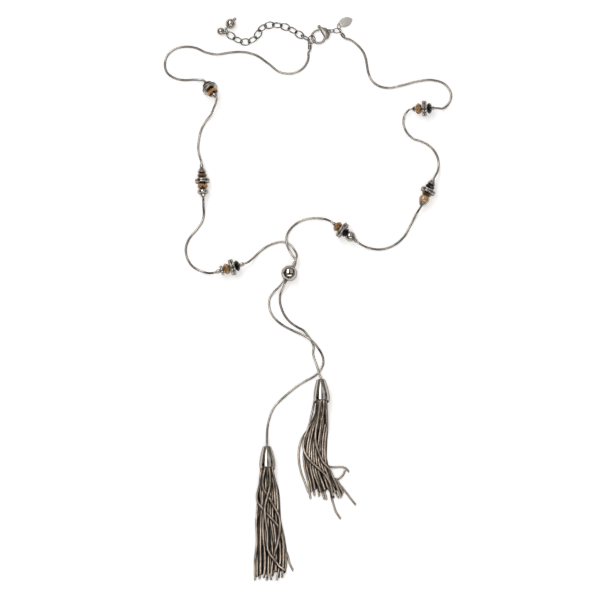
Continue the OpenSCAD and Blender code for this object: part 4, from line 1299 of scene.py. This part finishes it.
class DoubleRings(bpy.types.Operator):
    """Turn the double rings and set their stones"""

    bl_idname = "necklace.double_rings"
    bl_label = "Double rings"

    def execute(self, context):
        stones = context.scene.necklace_stones
        for name, (_, length, d, _), place in station_places(("ring",)):
            core = d / 2 - RING_GROOVE
            rim = RIM_SHARE * length
            # One rim's outline: out from the bore over a low hub, round the rim and down to the groove
            half = [(0, BORE_R), *((z + share * length, d / 2 - depth) for z, share, depth in RIM_OUTLINE),
                    (rim, core)]
            outline = half + [(length - z, r) for z, r in reversed(half)]
            piece = turned(
                name + "_rims", rounded(outline, RIM_EDGE_R, 6), place, RING_SIDES,
                "bright_rhodium_beads")
            # Faces in the groove take a second finish, painted shade
            piece.data.materials.append(finish_of("oxidised_groove"))
            back = place.inverted()
            for face in piece.data.polygons:
                at = back @ (face.center / MM)
                in_reach = rim - GROOVE_REACH < at.z < length - rim + GROOVE_REACH
                if in_reach and math.hypot(at.x, at.y) < core + GROOVE_RISE:
                    face.material_index = 1
            fitted(piece, "polished_metal", name)
            count = math.floor(math.pi * d / STONE_PITCH)
            seats = []
            for k in range(count):
                angle = 2 * math.pi * k / count
                turn = place.to_3x3() @ Matrix.Rotation(angle, 3, "Z") @ Matrix.Rotation(math.pi / 2, 3, "Y")
                at = place @ round_z(core - STONE_SINK, angle, length / 2)
                seats.append((at, [math.degrees(a) for a in turn.to_euler("XYZ")]))
            row = grown(name + "_stones", turned_points(name + "_stones", seats), "Set stones", {
                "Stone width": min(stones.width, (length - 2 * rim) * MM), "Stone height": stones.height,
                "Finish": finish_of("foil_backed_crystal")})
            fitted(row, "polished_metal")
        return {"FINISHED"}


def add_hull(mesh, balls):
    """The hull of a row of balls on the clasp, added to a bmesh in metres."""
    hull = bmesh.new()
    for x, y, r in balls:
        at = Matrix.Scale(MM, 4) @ CLASP_PLACE @ Matrix.Translation((x, y, 0))
        bmesh.ops.create_icosphere(hull, subdivisions=3, radius=r, matrix=at)
    result = bmesh.ops.convex_hull(hull, input=hull.verts)
    inside = {item for item in result["geom_interior"] if isinstance(item, bmesh.types.BMVert)}
    bmesh.ops.delete(hull, geom=list(inside), context="VERTS")
    data = bpy.data.meshes.new("hull")
    hull.to_mesh(data)
    hull.free()
    mesh.from_mesh(data)
    bpy.data.meshes.remove(data)


def domed(piece):
    """Round the clasp's shoulders into one dome, clear of the lever's pivot, the eye and the hook."""
    mesh = bmesh.new()
    mesh.from_mesh(piece.data)
    back = CLASP_PLACE.inverted()
    shoulder = []
    for vert in mesh.verts:
        at = back @ (vert.co / MM)
        if at.x > CLASP_HOOK_END and all(math.hypot(at.x - x, at.y - y) > r for x, y, r in CLASP_SHARP):
            shoulder.append(vert)
    for _ in range(DOME_ROUNDS):
        bmesh.ops.smooth_vert(
            mesh, verts=shoulder, factor=0.5, use_axis_x=True, use_axis_y=True, use_axis_z=True)
    mesh.to_mesh(piece.data)
    mesh.free()


def cast_copy(node, voxel_mm, lost_mm, shoulders=()):
    """A casting of a CAD node: remeshed, rounded off and swelled by what the rounding took."""
    mesh = merged_copy(node)
    for balls in shoulders:
        add_hull(mesh, balls)
    piece = object_of(node + "_cast", mesh, "satin_rhodium_casting")
    add_modifier(piece, "REMESH", mode="VOXEL", voxel_size=voxel_mm * MM, use_smooth_shade=True)
    add_modifier(piece, "SMOOTH", factor=0.5, iterations=CAST_ROUNDS)
    add_modifier(piece, "DISPLACE", strength=lost_mm * MM, mid_level=0)
    return settled(piece)


class LobsterClasp(bpy.types.Operator):
    """Finish the clasp's body and its lever"""

    bl_idname = "necklace.lobster_clasp"
    bl_label = "Lobster clasp"

    def execute(self, context):
        body = cast_copy("clasp_body", voxel_mm=0.08, lost_mm=0.1, shoulders=CLASP_SHOULDERS)
        domed(body)
        fitted(body, "satin_metal", "clasp_body")
        lever = cast_copy("clasp_lever", voxel_mm=0.07, lost_mm=0.04)
        fitted(lever, "satin_metal", "clasp_lever", body=LEVER_BODY)
        return {"FINISHED"}


class RingsAndLinks(bpy.types.Operator):
    """Bend the jump rings, the connector and the extension chain's links"""

    bl_idname = "necklace.rings_and_links"
    bl_label = "Rings and links"

    def execute(self, context):
        rows = []
        for name, (at, heading, lean, r, wire) in RINGS.items():
            width = 2 * (r + wire)
            rows.append((name, [(at, (lean, 0, heading))], width + RING_OVAL, width, wire))
        at, heading, lean, *sizes = CONNECTOR
        rows.append(("connector_ring", [(at, (lean, 0, heading))], *sizes))
        rise = (LINK_W / 2 - LINK_WIRE_R) * math.sin(math.radians(LINK_LEAN)) + LINK_WIRE_R + OFF_FLOOR
        places = []
        for i, link in enumerate(LINKS):
            before, after = LINKS[max(0, i - 1)], LINKS[min(len(LINKS) - 1, i + 1)]
            heading = math.degrees(math.atan2(after[1] - before[1], after[0] - before[0]))
            x, y, z, lean = link if len(link) > 2 else (*link, rise, LINK_LEAN * (-1) ** i)
            places.append(((x, y, z), (lean, 0, heading)))
        rows.append(("extension_chain", places, *LINK_SEEN))
        for name, spots, length, width, wire in rows:
            piece = grown(name + "_wire", turned_points(name + "_wire", spots), "Wire links", {
                "Length": length * MM, "Width": width * MM, "Wire": 2 * wire * MM, "Sides": WIRE_SIDES,
                "Steps": WIRE_STEPS, "Finish": finish_of("rhodium_wire")})
            fitted(piece, "polished_metal", name)
        return {"FINISHED"}


class ChainEnds(bpy.types.Operator):
    """Make the tubes and eyes at the chains' clasp ends"""

    bl_idname = "necklace.chain_ends"
    bl_label = "Chain ends"

    def execute(self, context):
        # The tube's outline: a closed end, a turned line round it, and the mouth that the chain enters
        outline = [(0, 0), *((z, END_TUBE_R - depth) for z, depth in END_OUTLINE),
                   (END_TUBE_L, BORE_R), (END_WALL, BORE_R), (END_WALL, 0)]
        for name, (at, heading, lean) in (("left_chain_end", END_LEFT), ("right_chain_end", END_RIGHT)):
            mesh = bmesh.new()
            place = placing(at, z=heading)
            add_wire_ring(mesh, place @ placing((0, 0, 0), lean), END_EYE_R, END_EYE_WIRE_R)
            tube = place @ placing((END_EYE_R - END_OVERLAP, 0, 0), y=90)
            spin(mesh, rounded(outline, TUBE_EDGE_R, closed=False), tube, BEAD_SIDES, closed=False)
            fitted(made(name + "_tube", mesh, "rhodium_wire"), "polished_metal", name)
        return {"FINISHED"}


class OvalTag(bpy.types.Operator):
    """Finish the bare oval tag with rounded edges"""

    bl_idname = "necklace.oval_tag"
    bl_label = "Oval tag"

    def execute(self, context):
        mesh = merged_copy("tag")
        bmesh.ops.dissolve_limit(mesh, angle_limit=math.radians(1), verts=mesh.verts, edges=mesh.edges)
        piece = object_of("tag_plate", mesh, "satin_rhodium_sheet")
        bevelled(piece, width_mm=0.14, segments=3, angle=40)
        piece.data.polygons.foreach_set("use_smooth", [True] * len(piece.data.polygons))
        piece.data.set_sharp_from_angle(angle=math.radians(SHARP_ANGLE))
        fitted(piece, "satin_metal", "tag")
        return {"FINISHED"}


class Drops(bpy.types.Operator):
    """Make the two ball drops at the extension chain's end"""

    bl_idname = "necklace.drops"
    bl_label = "Ball drops"

    def execute(self, context):
        for name, (at, heading, slope, r, eye_at), has_disc in (
                ("large_drop", LARGE_DROP, False), ("small_drop", SMALL_DROP, True)):
            mesh = bmesh.new()
            place = placing(at, y=-slope, z=heading)
            axis = place @ placing((0, 0, 0), y=90)
            spin(mesh, arc(0, r, 0, DROP_STEPS), axis, DROP_SIDES, closed=False)
            neck, inside = eye_at - DROP_EYE_R, -r + DROP_SINK
            stem = [(-neck, 0), (-neck, DROP_NECK_R), (-neck + DROP_NECK_L, DROP_STEM_R),
                    (inside, DROP_STEM_R), (inside, 0)]
            spin(mesh, stem, axis, STEM_SIDES, closed=False)
            if has_disc:
                out = -r - DROP_DISC_OUT
                disc = [(out, 0), (out, DROP_DISC_R), (inside, DROP_DISC_R), (inside, 0)]
                spin(mesh, rounded(disc, DISC_EDGE_R, closed=False), axis, BEAD_SIDES, closed=False)
            else:
                tip = arc(r + DROP_TIP_OUT * DROP_TIP_R, DROP_TIP_R, 0, TIP_STEPS)
                spin(mesh, tip, axis, TIP_SIDES, closed=False)
            add_wire_ring(mesh, place @ placing((-eye_at, 0, 0)), DROP_EYE_R, DROP_EYE_WIRE_R)
            fitted(made(name + "_ball", mesh, "polished_rhodium_plate"), "polished_metal", name)
        return {"FINISHED"}


class Stage(bpy.types.Operator):
    """Set the floor, the lights and the camera"""

    bl_idname = "necklace.stage"
    bl_label = "Stage"

    def execute(self, context):
        scene = context.scene
        mesh = bmesh.new()
        bmesh.ops.create_grid(mesh, x_segments=8, y_segments=8, size=FLOOR_SIZE)
        floor = made("floor", mesh, "white_paper_sweep", sharp=0)
        # A studio tent: pale panels with darker gaps between them, which give the metal its streaks
        world = bpy.data.worlds.new("studio")
        world.use_nodes = True
        tree = world.node_tree
        tree.nodes.clear()
        place = add_node(tree, "ShaderNodeTexCoord").outputs["Generated"]
        panels = add_node(tree, "ShaderNodeTexNoise", {"Vector": place, "Scale": 1.6, "Detail": 1})
        tone = add_node(tree, "ShaderNodeValToRGB", {"Fac": panels}, stops=(
            (0.42, linear("#14110f")), (0.56, linear("#bdbab6"))))
        height = add_node(tree, "ShaderNodeSeparateXYZ", {"Vector": place}).outputs["Z"]
        wall = add_node(tree, "ShaderNodeMapRange", {"Value": height, "From Min": 0.03, "From Max": 0.1})
        room = add_node(tree, "ShaderNodeMix", {
            "Factor": wall, "A": (*linear("#e6e5e3"), 1), "B": tone}, data_type="RGBA")
        background = add_node(tree, "ShaderNodeBackground", {"Color": room, "Strength": 0.5})
        add_node(tree, "ShaderNodeOutputWorld", {"Surface": background})
        scene.world = world
        for name, at, width, depth, power in SOFT_BOXES:
            light = bpy.data.lights.new(name, "AREA")
            light.shape = "RECTANGLE"
            light.size = width
            light.size_y = depth
            light.energy = power
            box = bpy.data.objects.new(name, light)
            box.location = at
            scene.collection.objects.link(box)
        rise = math.radians(VIEW_ELEVATION)
        back = Vector((0, -math.cos(rise), math.sin(rise)))
        camera = bpy.data.cameras.new("camera")
        camera.sensor_width = FILM_WIDTH
        camera.lens = FILM_WIDTH * VIEW_DISTANCE / VIEW_WIDTH
        camera.clip_end = 100
        eye = bpy.data.objects.new("camera", camera)
        eye.location = Vector(VIEW_TARGET) + back * VIEW_DISTANCE
        eye.rotation_euler = (-back).to_track_quat("-Z", "Y").to_euler()
        scene.collection.objects.link(eye)
        scene.camera = eye
        scene.view_settings.view_transform = "Standard"
        return {"FINISHED"}


class NecklacePanel(bpy.types.Panel):
    """Sizes, colours and pieces of the necklace"""

    bl_idname = "VIEW3D_PT_necklace"
    bl_label = "Lariat necklace"
    bl_space_type = "VIEW_3D"
    bl_region_type = "UI"
    bl_category = "Necklace"

    def draw(self, context):
        for group, name in GROUPS:
            box = self.layout.box()
            for key in group.__annotations__:
                box.prop(getattr(context.scene, name), key)
        for operator in OPERATORS:
            self.layout.operator(operator.bl_idname)


GROUPS = (
    (ChainSizes, "necklace_chain"), (TasselSizes, "necklace_tassels"), (StoneSizes, "necklace_stones"),
    (Finishes, "necklace_finishes"))
OPERATORS = (
    Stage, SnakeChains, Tassels, BellCaps, SliderBall, GlassBeads, MetalBeads, DoubleRings, LobsterClasp,
    RingsAndLinks, ChainEnds, OvalTag, Drops)


def register():
    for group, name in GROUPS:
        bpy.utils.register_class(group)
        setattr(bpy.types.Scene, name, PointerProperty(type=group))
    for operator in OPERATORS:
        bpy.utils.register_class(operator)
    bpy.utils.register_class(NecklacePanel)


def unregister():
    bpy.utils.unregister_class(NecklacePanel)
    for operator in reversed(OPERATORS):
        bpy.utils.unregister_class(operator)
    for group, name in reversed(GROUPS):
        delattr(bpy.types.Scene, name)
        bpy.utils.unregister_class(group)


def main():
    register()
    for operator in OPERATORS:
        family, name = operator.bl_idname.split(".")
        getattr(getattr(bpy.ops, family), name)()


if __name__ == "__main__":
    main()
